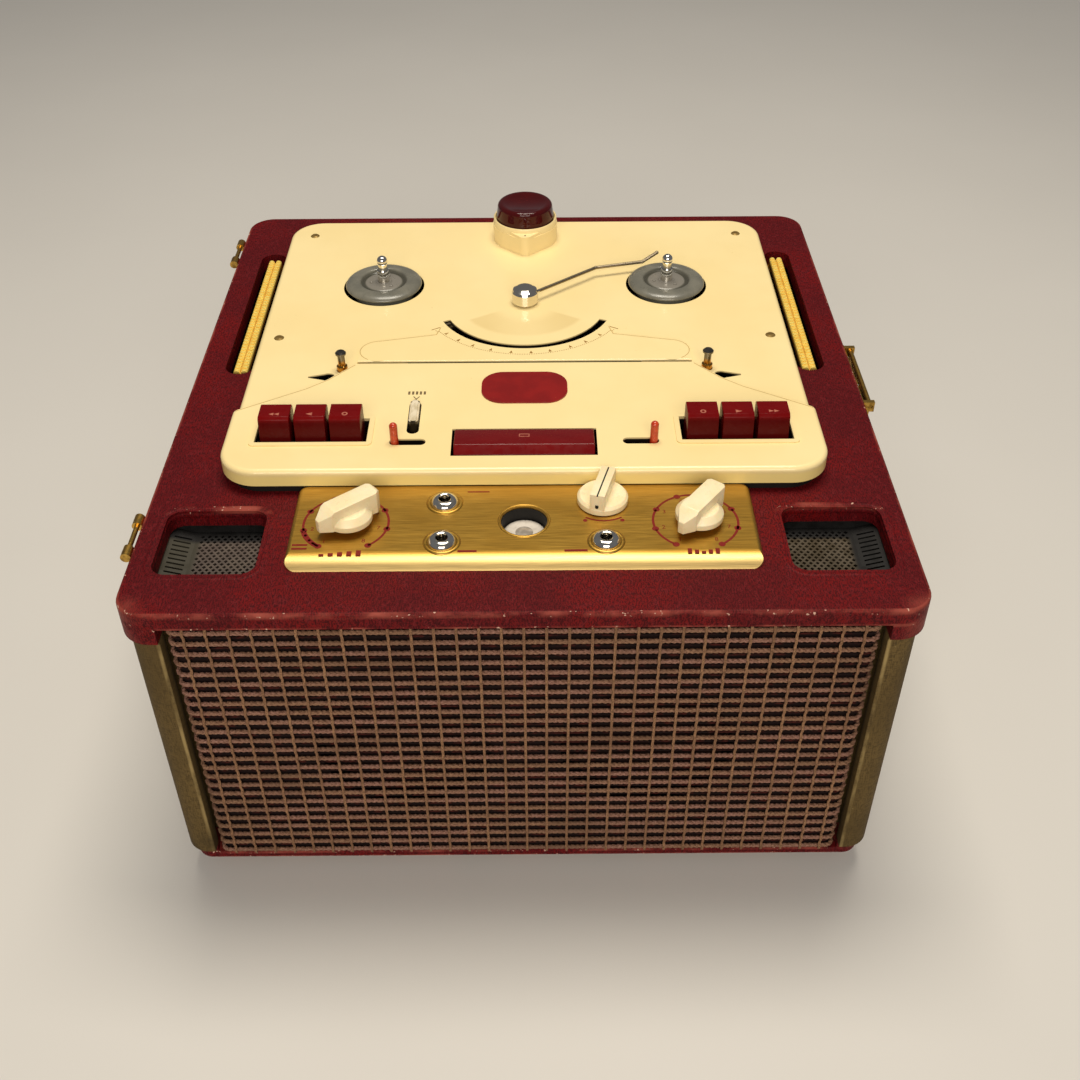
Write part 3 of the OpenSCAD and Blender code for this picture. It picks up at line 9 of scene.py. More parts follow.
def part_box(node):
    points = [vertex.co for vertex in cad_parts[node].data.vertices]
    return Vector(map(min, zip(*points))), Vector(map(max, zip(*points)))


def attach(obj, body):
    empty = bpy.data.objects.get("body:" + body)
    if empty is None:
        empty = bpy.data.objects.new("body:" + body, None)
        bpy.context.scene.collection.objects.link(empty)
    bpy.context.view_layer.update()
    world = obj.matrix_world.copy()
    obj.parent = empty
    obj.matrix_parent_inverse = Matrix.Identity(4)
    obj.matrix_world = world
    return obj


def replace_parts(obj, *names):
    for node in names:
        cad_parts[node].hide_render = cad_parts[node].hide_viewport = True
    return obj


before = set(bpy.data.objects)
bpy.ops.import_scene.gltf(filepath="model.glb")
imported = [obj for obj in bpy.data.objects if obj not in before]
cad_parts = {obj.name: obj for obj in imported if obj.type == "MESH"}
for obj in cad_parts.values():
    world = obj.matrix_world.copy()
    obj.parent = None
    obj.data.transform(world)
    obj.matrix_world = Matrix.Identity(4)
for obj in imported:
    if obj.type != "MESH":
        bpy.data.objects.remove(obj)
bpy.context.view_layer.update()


# Base board and feet: plywood covered in burgundy leathercloth, whose front lip has rubbed down to
# the pale threads, on four turned rubber feet.
def tint(red, green, blue):
    """A colour as it is read off a print, 0 to 255, as the light that the shader wants."""
    return [((c / 255 + 0.055) / 1.055) ** 2.4 if c > 10 else c / 3294.6 for c in (red, green, blue)] + [1.0]


class Web:
    """A node tree that is grown one node at a time; each node gives back the socket that comes out of it."""

    def __init__(self, tree):
        self.tree = tree

    def add(self, kind, *values, out=0, **settings):
        node = self.tree.nodes.new(kind)
        for key, value in settings.items():
            setattr(node, key, value)
        for socket, value in zip([s for s in node.inputs if s.enabled], values):
            if isinstance(value, bpy.types.NodeSocket):
                self.tree.links.new(value, socket)
            elif value is not None:
                socket.default_value = value
        outs = [s for s in node.outputs if s.enabled]
        return node.outputs[out] if isinstance(out, str) else outs[out]

    def calc(self, operation, first, second=None):
        return self.add("ShaderNodeMath", first, second, operation=operation)


class Finish(Web):
    """A surface worked out, in millimetres, from the piece's own coordinates."""

    def __init__(self, name, **look):
        self.material = bpy.data.materials.new(name)
        self.material.use_nodes = True
        super().__init__(self.material.node_tree)
        self.shader = self.tree.nodes["Principled BSDF"]
        for key, value in look.items():
            self.shader.inputs[key.replace("_", " ")].default_value = value
        metres = self.add("ShaderNodeTexCoord", out="Object")
        self.at = self.add("ShaderNodeVectorMath", metres, (1000, 1000, 1000), operation="MULTIPLY")
        parts = self.tree.nodes.new("ShaderNodeSeparateXYZ")
        self.tree.links.new(self.at, parts.inputs[0])
        self.x, self.y, self.z = parts.outputs

    def noise(self, size, detail, along=(1, 1, 1)):
        where = self.add("ShaderNodeVectorMath", self.at, [1 / (size * a) for a in along], operation="MULTIPLY")
        return self.add("ShaderNodeTexNoise", where, 1.0, detail)

    def ease(self, value, low, high, start=0.0, end=1.0):
        return self.add("ShaderNodeMapRange", value, low, high, start, end, interpolation_type="SMOOTHSTEP")

    def patches(self, size, detail, low, high, along=(1, 1, 1)):
        """Soft-edged patches: none where the noise is under low, full where it is over high."""
        return self.ease(self.noise(size, detail, along), low, high)

    def mix(self, share, first, second):
        return self.add("ShaderNodeMix", share, first, second, data_type="RGBA")

    def both(self, first, second):
        return self.calc("MULTIPLY", first, second)

    def either(self, first, second):
        return self.calc("MAXIMUM", first, second)

    def near(self, distance, width):
        """1 where the distance is nothing, 0 where it is more than the width, either side."""
        return self.ease(self.calc("ABSOLUTE", distance), width, width * 0.25)

    def aside(self):
        """Distance from the middle of the case, either side."""
        return self.calc("ABSOLUTE", self.x)

    def reach(self, cx, cy):
        """Distance in plan from an upright axis."""
        x = self.calc("POWER", self.calc("SUBTRACT", self.x, cx), 2.0)
        y = self.calc("POWER", self.calc("SUBTRACT", self.y, cy), 2.0)
        return self.calc("SQRT", self.calc("ADD", x, y))

    def outline(self, cx, cy, half_w, half_d, r):
        """Distance in plan from a rectangle with round corners, mirrored in X; less than 0 inside it."""
        x = self.calc("ABSOLUTE", self.calc("SUBTRACT", self.aside(), cx))
        x = self.calc("SUBTRACT", x, half_w - r)
        y = self.calc("SUBTRACT", self.calc("ABSOLUTE", self.calc("SUBTRACT", self.y, cy)), half_d - r)
        out = self.calc("ADD", self.calc("POWER", self.calc("MAXIMUM", x, 0.0), 2.0),
                        self.calc("POWER", self.calc("MAXIMUM", y, 0.0), 2.0))
        inside = self.calc("MINIMUM", self.calc("MAXIMUM", x, y), 0.0)
        return self.calc("SUBTRACT", self.calc("ADD", self.calc("SQRT", out), inside), r)

    def wear(self, socket, value):
        self.tree.links.new(value, self.shader.inputs[socket])

    def bump(self, height, depth, strength=1.0):
        node = self.tree.nodes.new("ShaderNodeBump")
        node.inputs["Strength"].default_value = strength
        node.inputs["Distance"].default_value = depth / 1000
        self.tree.links.new(height, node.inputs["Height"])
        self.tree.links.new(node.outputs["Normal"], self.shader.inputs["Normal"])


def dress(finish, *names):
    """Gives a finish to solids that stay as they are."""
    for name in names:
        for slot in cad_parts[name].material_slots:
            slot.material = finish.material


def leathercloth(name, rubbed):
    """Burgundy bookcloth with a fine streaked grain; rubbed says where it is worn."""
    cloth = Finish(name, Specular_IOR_Level=0.1)
    grain = cloth.noise(0.75, 2.0, (1, 3.2, 3.2))
    pores = cloth.noise(0.6, 1.0)
    blotch = cloth.patches(48, 5.0, 0.38, 0.64)
    colour = cloth.mix(blotch, tint(94, 14, 19), tint(116, 15, 16))
    colour = cloth.mix(cloth.patches(2.6, 3.0, 0.46, 0.7, (1, 2.2, 2.2)), colour, tint(108, 25, 29))
    colour = cloth.mix(cloth.ease(cloth.both(grain, pores), 0.16, 0.32), tint(62, 8, 12), colour)
    rub = rubbed(cloth)
    patchy = cloth.patches(8, 4.0, 0.36, 0.72, (2.5, 2.5, 1))
    colour = cloth.mix(cloth.both(rub, patchy), colour, tint(154, 74, 62))
    nick = cloth.both(cloth.patches(2.4, 2.0, 0.66, 0.72), cloth.ease(rub, 0.3, 0.7))
    colour = cloth.mix(nick, colour, tint(206, 166, 146))
    cloth.wear("Base Color", colour)
    cloth.wear("Roughness", cloth.ease(grain, 0.2, 0.7, 0.66, 0.46))
    cloth.bump(cloth.both(grain, pores), 0.3, 0.5)
    return cloth


base_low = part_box("base_board")[0].z * 1000


def base_rubbed(cloth):
    lip = cloth.near(cloth.calc("SUBTRACT", cloth.z, base_low + 4.6), 2.4)
    return cloth.either(lip, cloth.ease(cloth.z, base_low + 1.6, base_low))


dress(leathercloth("base_cloth", base_rubbed), "base_board")

rubber = Finish("black_rubber", Roughness=0.75)
rubber.wear("Base Color", rubber.mix(rubber.noise(6, 4.0), tint(20, 19, 18), tint(46, 43, 40)))
rubber.bump(rubber.noise(0.8, 3.0), 0.1, 0.5)
dress(rubber, "rubber_feet", "pinch_roller_left", "pinch_roller_right")


# Case walls: plywood sides and back under olive-beige cloth, turned round the two front posts and
# up behind the piping bead; darker low down, paler along its folds, with painted shade on the posts'
# inner returns.
beige = Finish("beige_cloth", Specular_IOR_Level=0.2, Roughness=0.8)
warp = beige.noise(0.45, 1.0, (1, 1, 8))
weft = beige.noise(0.45, 1.0, (8, 8, 1))
weave = beige.calc("ADD", warp, weft)
wall_tone = beige.mix(beige.patches(26, 4.0, 0.36, 0.66, (1, 1, 3)), tint(88, 70, 37), tint(102, 82, 45))
wall_tone = beige.mix(beige.ease(weave, 0.78, 1.1), tint(74, 58, 30), wall_tone)
scuff = beige.patches(3, 3.0, 0.7, 0.78, (1, 1, 2))
wall_tone = beige.mix(scuff, wall_tone, tint(140, 120, 76))
fold_x = 186.2
fold = beige.both(beige.near(beige.calc("SUBTRACT", beige.aside(), fold_x), 1.4), beige.ease(beige.y, 0, -20))
wall_tone = beige.mix(beige.both(fold, beige.patches(7, 3.0, 0.3, 0.7, (1, 1, 3))), wall_tone, tint(152, 130, 84))
post_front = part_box("case_walls")[0].y * 1000
# Painted shade: the front posts' inner returns, behind their faces, are near black.
deep = beige.both(beige.ease(beige.y, post_front + 4, post_front + 11), beige.ease(beige.y, 0, -20))
deep = beige.both(deep, beige.ease(beige.aside(), 185.5, 185.1))
wall_tone = beige.mix(deep, wall_tone, tint(34, 26, 14))
# Darker low down, in patches.
darker_low_down = beige.both(beige.ease(beige.z, 62, 18), beige.patches(18, 4.0, 0.3, 0.7))
wall_tone = beige.mix(darker_low_down, wall_tone, tint(66, 52, 28))
beige.wear("Base Color", wall_tone)
beige.bump(weave, 0.2, 0.4)
dress(beige, "case_walls")


# Baffle board: plywood with two round sound holes, stained dark red-brown behind the cloth, so that
# the gaps of the weave read nearly black.
stain = Finish("dark_stain", Roughness=0.85, Specular_IOR_Level=0.2)
stain.wear("Base Color", stain.mix(stain.noise(3, 4.0, (14, 1, 1)), tint(16, 7, 6), tint(32, 13, 10)))
stain.bump(stain.noise(1.2, 3.0, (12, 1, 1)), 0.2, 0.5)
dress(stain, "baffle_board")


# Loudspeakers, amplifier, valves, transformers and deck chassis: paper cones, plated steel, a deck
# chassis painted near black as shade for the slots over it, stacked laminations and glass, all shut in
# the case.
paper = Finish("paper_cone", Roughness=0.9, Specular_IOR_Level=0.2)
paper.wear("Base Color", paper.mix(paper.noise(2.5, 4.0), tint(24, 13, 11), tint(46, 24, 19)))
paper.bump(paper.noise(0.9, 4.0), 0.2, 0.6)
dress(paper, "loudspeakers")

plated = Finish("plated_steel", Metallic=1.0)
plated.wear("Base Color", plated.mix(plated.noise(14, 4.0), tint(150, 148, 140), tint(196, 192, 182)))
plated.wear("Roughness", plated.ease(plated.noise(4, 4.0), 0.3, 0.7, 0.28, 0.5))
dress(plated, "amplifier_chassis", "control_pots", "selector_switch", "tape_heads",
      "flywheel_left", "flywheel_right")

# Painted shade: the deck chassis is near black, so the slots over it read dark.
shade_dark_sheet = Finish("chassis_painted_shade", Roughness=0.7, Metallic=0.4)
shade_dark_sheet.wear("Base Color", shade_dark_sheet.mix(shade_dark_sheet.noise(9, 4.0), tint(18, 16, 14), tint(40, 36, 32)))
dress(shade_dark_sheet, "deck_chassis")

lamination = Finish("black_laminations", Roughness=0.5, Metallic=0.6)
layer = lamination.noise(0.8, 1.0, (60, 60, 1))
lamination.wear("Base Color", lamination.mix(layer, tint(24, 24, 25), tint(70, 68, 64)))
lamination.bump(layer, 0.2, 0.6)
dress(lamination, "transformers", "drive_motors")

bulb = Finish("valve_glass", Roughness=0.06, Transmission_Weight=0.8)
bulb.wear("Base Color", bulb.mix(bulb.ease(bulb.z, 100, 112), tint(226, 232, 230), tint(70, 72, 74)))
dress(bulb, "valves")


# Grille cloth: thick two-ply cords, bent round the baffle's edges, with a thin dark cord in each gap
# and flat tan strands laid over them, which dip between the cords.
def grow(web_name, obj, build, **inputs):
    """Runs a tree of geometry nodes over a piece and keeps the plain mesh that it makes."""
    tree = bpy.data.node_groups.new(web_name, "GeometryNodeTree")
    tree.interface.new_socket("Geometry", in_out="INPUT", socket_type="NodeSocketGeometry")
    kinds = {float: "NodeSocketFloat", int: "NodeSocketInt"}
    for key, value in inputs.items():
        tree.interface.new_socket(key, in_out="INPUT", socket_type=kinds.get(type(value), "NodeSocketMaterial"))
    tree.interface.new_socket("Geometry", in_out="OUTPUT", socket_type="NodeSocketGeometry")
    start = tree.nodes.new("NodeGroupInput")
    given = {socket.name: socket for socket in start.outputs}
    web = Web(tree)
    made = web.add("GeometryNodeRealizeInstances", build(web, given))
    made = web.add("GeometryNodeSetMaterial", made, None, given["Material"])
    tree.links.new(made, tree.nodes.new("NodeGroupOutput").inputs[0])
    modifier = obj.modifiers.new(web_name, "NODES")
    modifier.node_group = tree
    for item in tree.interface.items_tree:
        if item.in_out == "INPUT" and item.name in inputs:
            modifier[item.identifier] = inputs[item.name]
    obj.update_tag()
    grown = bpy.data.meshes.new_from_object(obj.evaluated_get(bpy.context.evaluated_depsgraph_get()))
    obj.modifiers.clear()
    obj.data = grown


def cord_rows(web, given):
    """Rows of two plies that wind round each other along the drawn path."""
    spread = web.add("ShaderNodeCombineXYZ", 0.0, 0.0, given["Pitch"])
    first = web.add("ShaderNodeCombineXYZ", 0.0, 0.0, given["First"])
    rows = web.add("GeometryNodeMeshLine", given["Count"], first, spread)
    path = web.add("GeometryNodeMeshToCurve", given["Geometry"])
    path = web.add("GeometryNodeResampleCurve", path, None, given["Step"], mode="LENGTH")
    rows = web.add("GeometryNodeInstanceOnPoints", rows, None, path)
    rows = web.add("GeometryNodeRealizeInstances", rows)
    height = web.add("ShaderNodeSeparateXYZ", web.add("GeometryNodeInputPosition"), out="Z")
    phase = web.calc("MULTIPLY", height, 913.0)  # each row starts its twist at another angle
    run = web.add("GeometryNodeSplineParameter", out="Length")
    turn = web.calc("MULTIPLY", web.calc("DIVIDE", run, given["Lay"]), 2 * pi)
    turn = web.calc("ADD", turn, phase)
    along = web.add("GeometryNodeInputTangent")
    side = web.add("ShaderNodeVectorMath", (0, 0, 1), along, operation="CROSS_PRODUCT")
    plies = []
    for half in (0.0, pi):
        angle = web.calc("ADD", turn, half)
        out = web.add("ShaderNodeVectorMath", side, web.calc("COSINE", angle), operation="SCALE")
        up = web.add("ShaderNodeCombineXYZ", 0.0, 0.0, web.calc("SINE", angle))
        shift = web.add("ShaderNodeVectorMath", out, up, operation="ADD")
        shift = web.add("ShaderNodeVectorMath", shift, given["Swing"], operation="SCALE")
        ply = web.add("GeometryNodeSetPosition", rows, None, None, shift)
        ring = web.add("GeometryNodeCurvePrimitiveCircle", 6, given["Ply"])
        plies.append(web.add("GeometryNodeCurveToMesh", ply, ring))
    join = web.tree.nodes.new("GeometryNodeJoinGeometry")
    for ply in plies:
        web.tree.links.new(ply, join.inputs[0])
    return join.outputs[0]


def strand_rows(web, given):
    """An upright flat strand at each drawn point, which dips between the cords."""
    size = web.add("ShaderNodeCombineXYZ", given["Width"], given["Thickness"], given["Height"])
    bar = web.add("GeometryNodeMeshCube", size, 3, 2, 160)
    place = web.add("GeometryNodeInputPosition")
    height = web.add("ShaderNodeSeparateXYZ", place, out="Z")
    wave = web.calc("DIVIDE", web.calc("SUBTRACT", height, given["Shift"]), given["Pitch"])
    wave = web.calc("COSINE", web.calc("MULTIPLY", wave, 2 * pi))
    dip = web.calc("MULTIPLY", web.calc("SUBTRACT", 1.0, wave), given["Dip"])
    bar = web.add("GeometryNodeSetPosition", bar, None, None, web.add("ShaderNodeCombineXYZ", 0.0, dip, 0.0))
    rows = web.add("GeometryNodeMeshToPoints", given["Geometry"])
    return web.add("GeometryNodeInstanceOnPoints", rows, None, bar)


def sketch(name, points, edges=()):
    """A bare wire in millimetres for the geometry nodes to work on."""
    mesh = bpy.data.meshes.new(name)
    mesh.from_pydata([[c / 1000 for c in p] for p in points], edges, [])
    obj = bpy.data.objects.new(name, mesh)
    bpy.context.collection.objects.link(obj)
    return obj


def keep(obj, body, smooth=50):
    """Rides a finished piece on its body, with smooth faces that break at hard edges."""
    for face in obj.data.polygons:
        face.use_smooth = True
    obj.data.set_sharp_from_angle(angle=radians(smooth))
    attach(obj, body)
    return obj


cord_low, cord_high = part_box("grille_cords")
cord_r = 1.6
cord_pitch = 7.45
cord_first = cord_low.z * 1000 + cord_r
cord_count = round(((cord_high.z - cord_low.z) * 1000 - 2 * cord_r) / cord_pitch) + 1
cord_y = cord_low.y * 1000 + cord_r
baffle_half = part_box("baffle_board")[1].x * 1000
edge_r = 2.5
bend = edge_r + cord_r


def cord_path(inset):
    """Along the front of the baffle and round both of its upright edges."""
    r = bend - inset
    end = baffle_half - edge_r
    corner = [(end + r * sin(a), cord_y + bend - r * cos(a), 0) for a in [radians(d) for d in range(0, 91, 15)]]
    right = corner + [(corner[-1][0], corner[-1][1] + 6, 0)]
    left = [(-x, y, z) for x, y, z in reversed(right)]
    points = left + right
    return points, [(i, i + 1) for i in range(len(points) - 1)]


cord_yarn = Finish("grille_cord", Roughness=0.85, Specular_IOR_Level=0.25)
fibre = cord_yarn.noise(0.3, 2.0, (5, 5, 1))
faded = cord_yarn.patches(17, 4.0, 0.4, 0.62, (3, 1, 0.4))
cord_tone = cord_yarn.mix(faded, tint(164, 121, 106), tint(156, 119, 92))
cord_tone = cord_yarn.mix(cord_yarn.ease(fibre, 0.35, 0.65), tint(112, 78, 60), cord_tone)
shabby = cord_yarn.patches(60, 3.0, 0.5, 0.68, (1, 1, 0.6))
cord_tone = cord_yarn.mix(cord_yarn.both(shabby, 0.6), cord_tone, tint(108, 80, 60))
cord_yarn.wear("Base Color", cord_tone)
cord_yarn.bump(fibre, 0.15, 0.5)
cords = sketch("grille_cloth_cords", *cord_path(0))
grow("twisted_cords", cords, cord_rows, Count=cord_count, First=cord_first / 1000, Pitch=cord_pitch / 1000,
     Ply=0.00105, Swing=0.00045, Lay=0.0062, Step=0.00142, Material=cord_yarn.material)
keep(cords, "cabinet", 80)
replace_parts(cords, "grille_cords")

dark_yarn = Finish("grille_dark_cord", Roughness=0.9, Specular_IOR_Level=0.2)
dark_tone = dark_yarn.mix(dark_yarn.patches(3, 3.0, 0.45, 0.7, (2, 1, 1)), tint(22, 8, 7), tint(66, 22, 16))
dark_yarn.wear("Base Color", dark_tone)
dark_yarn.bump(dark_yarn.noise(0.4, 2.0, (5, 5, 1)), 0.2, 0.6)
dark_cords = sketch("grille_cloth_dark_cords", *cord_path(1.0))
grow("thin_cords", dark_cords, cord_rows, Count=cord_count - 1, First=(cord_first + cord_pitch / 2) / 1000,
     Pitch=cord_pitch / 1000, Ply=0.0006, Swing=0.0003, Lay=0.006, Step=0.003, Material=dark_yarn.material)
keep(dark_cords, "cabinet", 80)

strand_low, strand_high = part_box("grille_strands")
strand_pitch = 11.6
strand_count = round((strand_high.x - strand_low.x) * 1000 / strand_pitch) + 1
strand_mid = (strand_low.z + strand_high.z) * 500
tan_yarn = Finish("grille_strand", Roughness=0.8, Specular_IOR_Level=0.25)
tan_tone = tan_yarn.mix(tan_yarn.patches(9, 4.0, 0.36, 0.66, (1, 1, 3)), tint(132, 96, 70), tint(156, 116, 84))
tan_tone = tan_yarn.mix(tan_yarn.patches(0.4, 1.0, 0.35, 0.6, (1, 1, 9)), tint(104, 74, 52), tan_tone)
tan_yarn.wear("Base Color", tan_tone)
tan_yarn.bump(tan_yarn.noise(0.35, 1.0, (1, 1, 9)), 0.2, 0.6)
strands = sketch("grille_cloth_strands", [
    ((i - (strand_count - 1) / 2) * strand_pitch + 0.25 * sin(7 * i), cord_y - cord_r - 0.36, strand_mid)
    for i in range(strand_count)])
grow("flat_strands", strands, strand_rows, Width=0.0014, Thickness=0.0006, Height=strand_high.z - strand_low.z,
     Pitch=cord_pitch / 1000, Shift=(cord_first - strand_mid) / 1000, Dip=0.0007, Material=tan_yarn.material)
keep(strands, "cabinet")
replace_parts(strands, "grille_strands")


# Top board: one board with its band, in the same leathercloth as the base, rubbed along the front
# edge and round the two wells, where the cloth is rolled over the cut.
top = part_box("top_board")[1].z * 1000
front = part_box("top_board")[0].y * 1000
board = (0, 0, 206, -front, 17)  # its middle, half its width and depth, and its corners' radius
well = (166, front + 57, 27, 26, 8)  # the same for the right-hand well


def board_rubbed(cloth):
    rim = cloth.near(cloth.calc("ADD", cloth.outline(*board), 0.5), 1.8)
    rim = cloth.both(rim, cloth.ease(cloth.z, top - 4, top - 0.8))
    hem = cloth.near(cloth.calc("SUBTRACT", cloth.z, top - 10), 1.6)
    hem = cloth.both(hem, cloth.ease(cloth.y, front + 3, front + 1))
    corner = cloth.both(cloth.ease(cloth.aside(), 186, 200), cloth.ease(cloth.y, front + 18, front + 6))
    mouth = cloth.near(cloth.calc("SUBTRACT", cloth.outline(*well), 1.0), 2.2)
    mouth = cloth.both(mouth, cloth.ease(cloth.z, top - 4, top - 1))
    mouth = cloth.both(mouth, cloth.ease(cloth.y, well[1] + 22, well[1] + 26))
    return cloth.either(cloth.either(rim, cloth.both(corner, 0.5)), cloth.either(hem, mouth))


burgundy = leathercloth("board_cloth", board_rubbed)
dress(burgundy, "top_board")


def piece(name, bm, finish, body, smooth=35, closed=True):
    """Turns a mesh drawn in millimetres into a finished piece."""
    bmesh.ops.scale(bm, vec=(0.001, 0.001, 0.001), verts=bm.verts)
    if closed:
        bmesh.ops.recalc_face_normals(bm, faces=bm.faces)
    mesh = bpy.data.meshes.new(name)
    bm.to_mesh(mesh)
    bm.free()
    mesh.materials.append(finish.material)
    obj = bpy.data.objects.new(name, mesh)
    bpy.context.collection.objects.link(obj)
    return keep(obj, body, smooth)


def round_path(cx, cy, half_w, half_d, r, steps=6):
    """Points round a rectangle with round corners, each with its outward direction."""
    path = []
    for k in range(4):
        mx = (1, -1, -1, 1)[k] * (half_w - r)
        my = (1, 1, -1, -1)[k] * (half_d - r)
        for i in range(steps + 1):
            a = radians(90 * k + 90 * i / steps)
            path.append((cx + mx + r * cos(a), cy + my + r * sin(a), cos(a), sin(a)))
    return path


def band(bm, path, profile):
    """Sweeps a closed profile of (outward, height) pairs along a closed plan path."""
    rings = [[bm.verts.new((x + nx * o, y + ny * o, z)) for o, z in profile] for x, y, nx, ny in path]
    for one, two in zip(rings, rings[1:] + rings[:1]):
        for j in range(len(profile)):
            k = (j + 1) % len(profile)
            bm.faces.new((one[j], one[k], two[k], two[j]))


rims = bmesh.new()
roll = [(3.1 - 3.4 * cos(radians(a)), top - 3.1 + 3.4 * sin(radians(a))) for a in range(-36, 127, 18)]
roll += [(3.6, top - 1.2), (0.6, top - 5.4)]
for side in (-1, 1):
    band(rims, round_path(side * well[0], *well[1:]), roll)


def roll_rubbed(cloth):
    behind = cloth.ease(cloth.y, well[1] + 22, well[1] + 25)
    return cloth.both(cloth.ease(cloth.z, top - 1.6, top - 0.4), behind)


piece("well_rims", rims, leathercloth("rolled_cloth", roll_rubbed), "cabinet", 60)


# Well trays and side strips: grey-painted perforated sheet under the wells, and two ribbed gilt strips
# that let the warm air out beside the deck. The trays carry painted shade on their rear bands and outer
# slopes, and the two trays differ in tone as painted light; the strips are painted darker low down as
# shade between the ribs.
sheet = Finish("grey_mesh", Roughness=0.6, Metallic=0.25)
dust = sheet.patches(7, 5.0, 0.38, 0.68)
# Painted light: the left and right trays get different tones, the right one shaded.
tray_paint_and_shade = sheet.mix(sheet.ease(sheet.x, -5, 5), tint(84, 72, 65), tint(68, 57, 38))
tray_paint_and_shade = sheet.mix(dust, tray_paint_and_shade, sheet.mix(0.35, tray_paint_and_shade, tint(120, 108, 94)))
# Painted shade on the trays' outer slopes, near black in the right tray.
outer_slope_shade = sheet.ease(sheet.aside(), well[0] + 9, well[0] + 13)
tray_paint_and_shade = sheet.mix(outer_slope_shade, tray_paint_and_shade, sheet.mix(sheet.ease(sheet.x, -5, 5), tint(62, 58, 46), tint(16, 14, 12)))
# Painted shade, near black, on the rear band under each well's rolled rim.
tray_paint_and_shade = sheet.mix(sheet.ease(sheet.y, well[1] + 15, well[1] + 19), tray_paint_and_shade, tint(10, 8, 8))
sheet.wear("Base Color", tray_paint_and_shade)
sheet.wear("Roughness", sheet.ease(dust, 0.0, 1.0, 0.5, 0.75))
dress(sheet, "vent_trays")

strip = Finish("gilt_strip", Metallic=0.2)
grime = strip.patches(5, 4.0, 0.35, 0.7)
# Painted shade: darker amber low down, between and beside the ribs.
above_groove_shade = strip.ease(strip.z, top - 5, top - 2.4)
strip_tone = strip.mix(grime, tint(255, 226, 120), tint(246, 206, 92))
strip.wear("Base Color", strip.mix(above_groove_shade, tint(176, 116, 30), strip_tone))
strip.wear("Roughness", strip.ease(grime, 0.0, 1.0, 0.3, 0.5))
dress(strip, "side_vents")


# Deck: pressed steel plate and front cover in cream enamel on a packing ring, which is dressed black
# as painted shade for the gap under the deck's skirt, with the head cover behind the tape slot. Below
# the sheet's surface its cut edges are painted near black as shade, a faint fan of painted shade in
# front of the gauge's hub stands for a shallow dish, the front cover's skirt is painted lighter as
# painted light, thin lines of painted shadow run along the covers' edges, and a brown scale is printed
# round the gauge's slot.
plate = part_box("deck_plate")[1].z * 1000
cover = plate + 3
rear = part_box("deck_plate")[1].y * 1000
deck_half = 154.25
hub = (0, front + 287)


def enamel(name, paint_light_and_shade):
    """Aged cream enamel; the rule passed in paints shade where the light doesn't reach, and painted light."""
    made = Finish(name, Coat_Weight=0.3, Coat_Roughness=0.12)
    age = made.patches(80, 4.0, 0.34, 0.68)
    tone = made.mix(age, tint(248, 223, 160), tint(251, 228, 168))
    speck = made.patches(3.0, 2.0, 0.75, 0.79)
    tone = made.mix(made.both(speck, 0.4), tone, tint(206, 174, 112))
    made.wear("Base Color", paint_light_and_shade(made, tone))
    made.wear("Roughness", made.ease(made.noise(16, 4.0), 0.3, 0.7, 0.3, 0.42))
    made.bump(made.noise(1.8, 3.0), 0.015, 0.25)
    return made


def plate_painted_shade(made, tone):
    # Painted shade: a faint darker sector in front of the gauge's hub stands for a shallow dish.
    forward = made.calc("SUBTRACT", hub[1], made.y)
    fan = made.ease(made.calc("SUBTRACT", made.both(forward, 1.75), made.aside()), 0.0, 5.0)
    span = made.reach(*hub)
    fan = made.both(fan, made.both(made.ease(span, 44, 40), made.ease(span, 16, 28)))
    tone = made.mix(made.both(fan, made.ease(made.aside(), 2, 30, 0.25, 0.5)), tone, tint(222, 192, 124))
    # Painted shade: the sheet's cut edges, below its surface, are near black.
    inside = made.ease(made.outline(0, rear - deck_half, 168, deck_half, 22), -3.5, -4.5)
    return made.mix(made.both(inside, made.ease(made.z, plate - 0.5, plate - 1.1)), tone, tint(18, 13, 9))


def cover_painted_light_and_shade(made, tone):
    inside = made.ease(made.outline(0, rear - deck_half, 170, deck_half, 22), -3.5, -4.5)
    ahead = made.either(made.ease(made.y, front + 156, front + 155), made.ease(made.aside(), 101, 100))
    deep = made.ease(made.z, cover - 0.7, cover - 1.3)
    # Painted light: the front cover's skirt, low down, is a lighter cream.
    tone = made.mix(made.both(made.ease(made.z, cover - 2, cover - 5), 0.8), tone, tint(255, 232, 146))
    # Painted shade: the cover's cut edges, below its surface, are near black.
    return made.mix(made.both(deep, made.both(inside, ahead)), tone, tint(18, 13, 9))


cream = enamel("cream_enamel", lambda made, tone: tone)
dress(enamel("cream_plate", plate_painted_shade), "deck_plate")
dress(enamel("cream_cover", cover_painted_light_and_shade), "front_cover")
dress(cream, "head_cover", "speed_housing")

black = Finish("black_plastic", Roughness=0.55, Specular_IOR_Level=0.3)
black.wear("Base Color", black.mix(black.noise(8, 4.0), tint(12, 11, 11), tint(30, 27, 25)))
black.bump(black.noise(0.7, 3.0), 0.06, 0.5)
# The deck plinth is black as painted shade for the gap under the deck's skirt; the shield, inlet and handle are
# black plastic.
dress(black, "deck_plinth", "eye_shield", "mains_inlet", "handle")


def landing(*names):
    """Gives a rule that finds, at a place in plan, the height just over the named pieces' upper surface."""
    trees = [BVHTree.FromPolygons([v.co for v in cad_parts[n].data.vertices],
                                  [p.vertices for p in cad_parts[n].data.polygons]) for n in names]

    def height(x, y):
        hits = [tree.ray_cast(Vector((x / 1000, y / 1000, 1)), Vector((0, 0, -1)))[0] for tree in trees]
        return max(hit.z * 1000 for hit in hits if hit) + 0.05

    return height


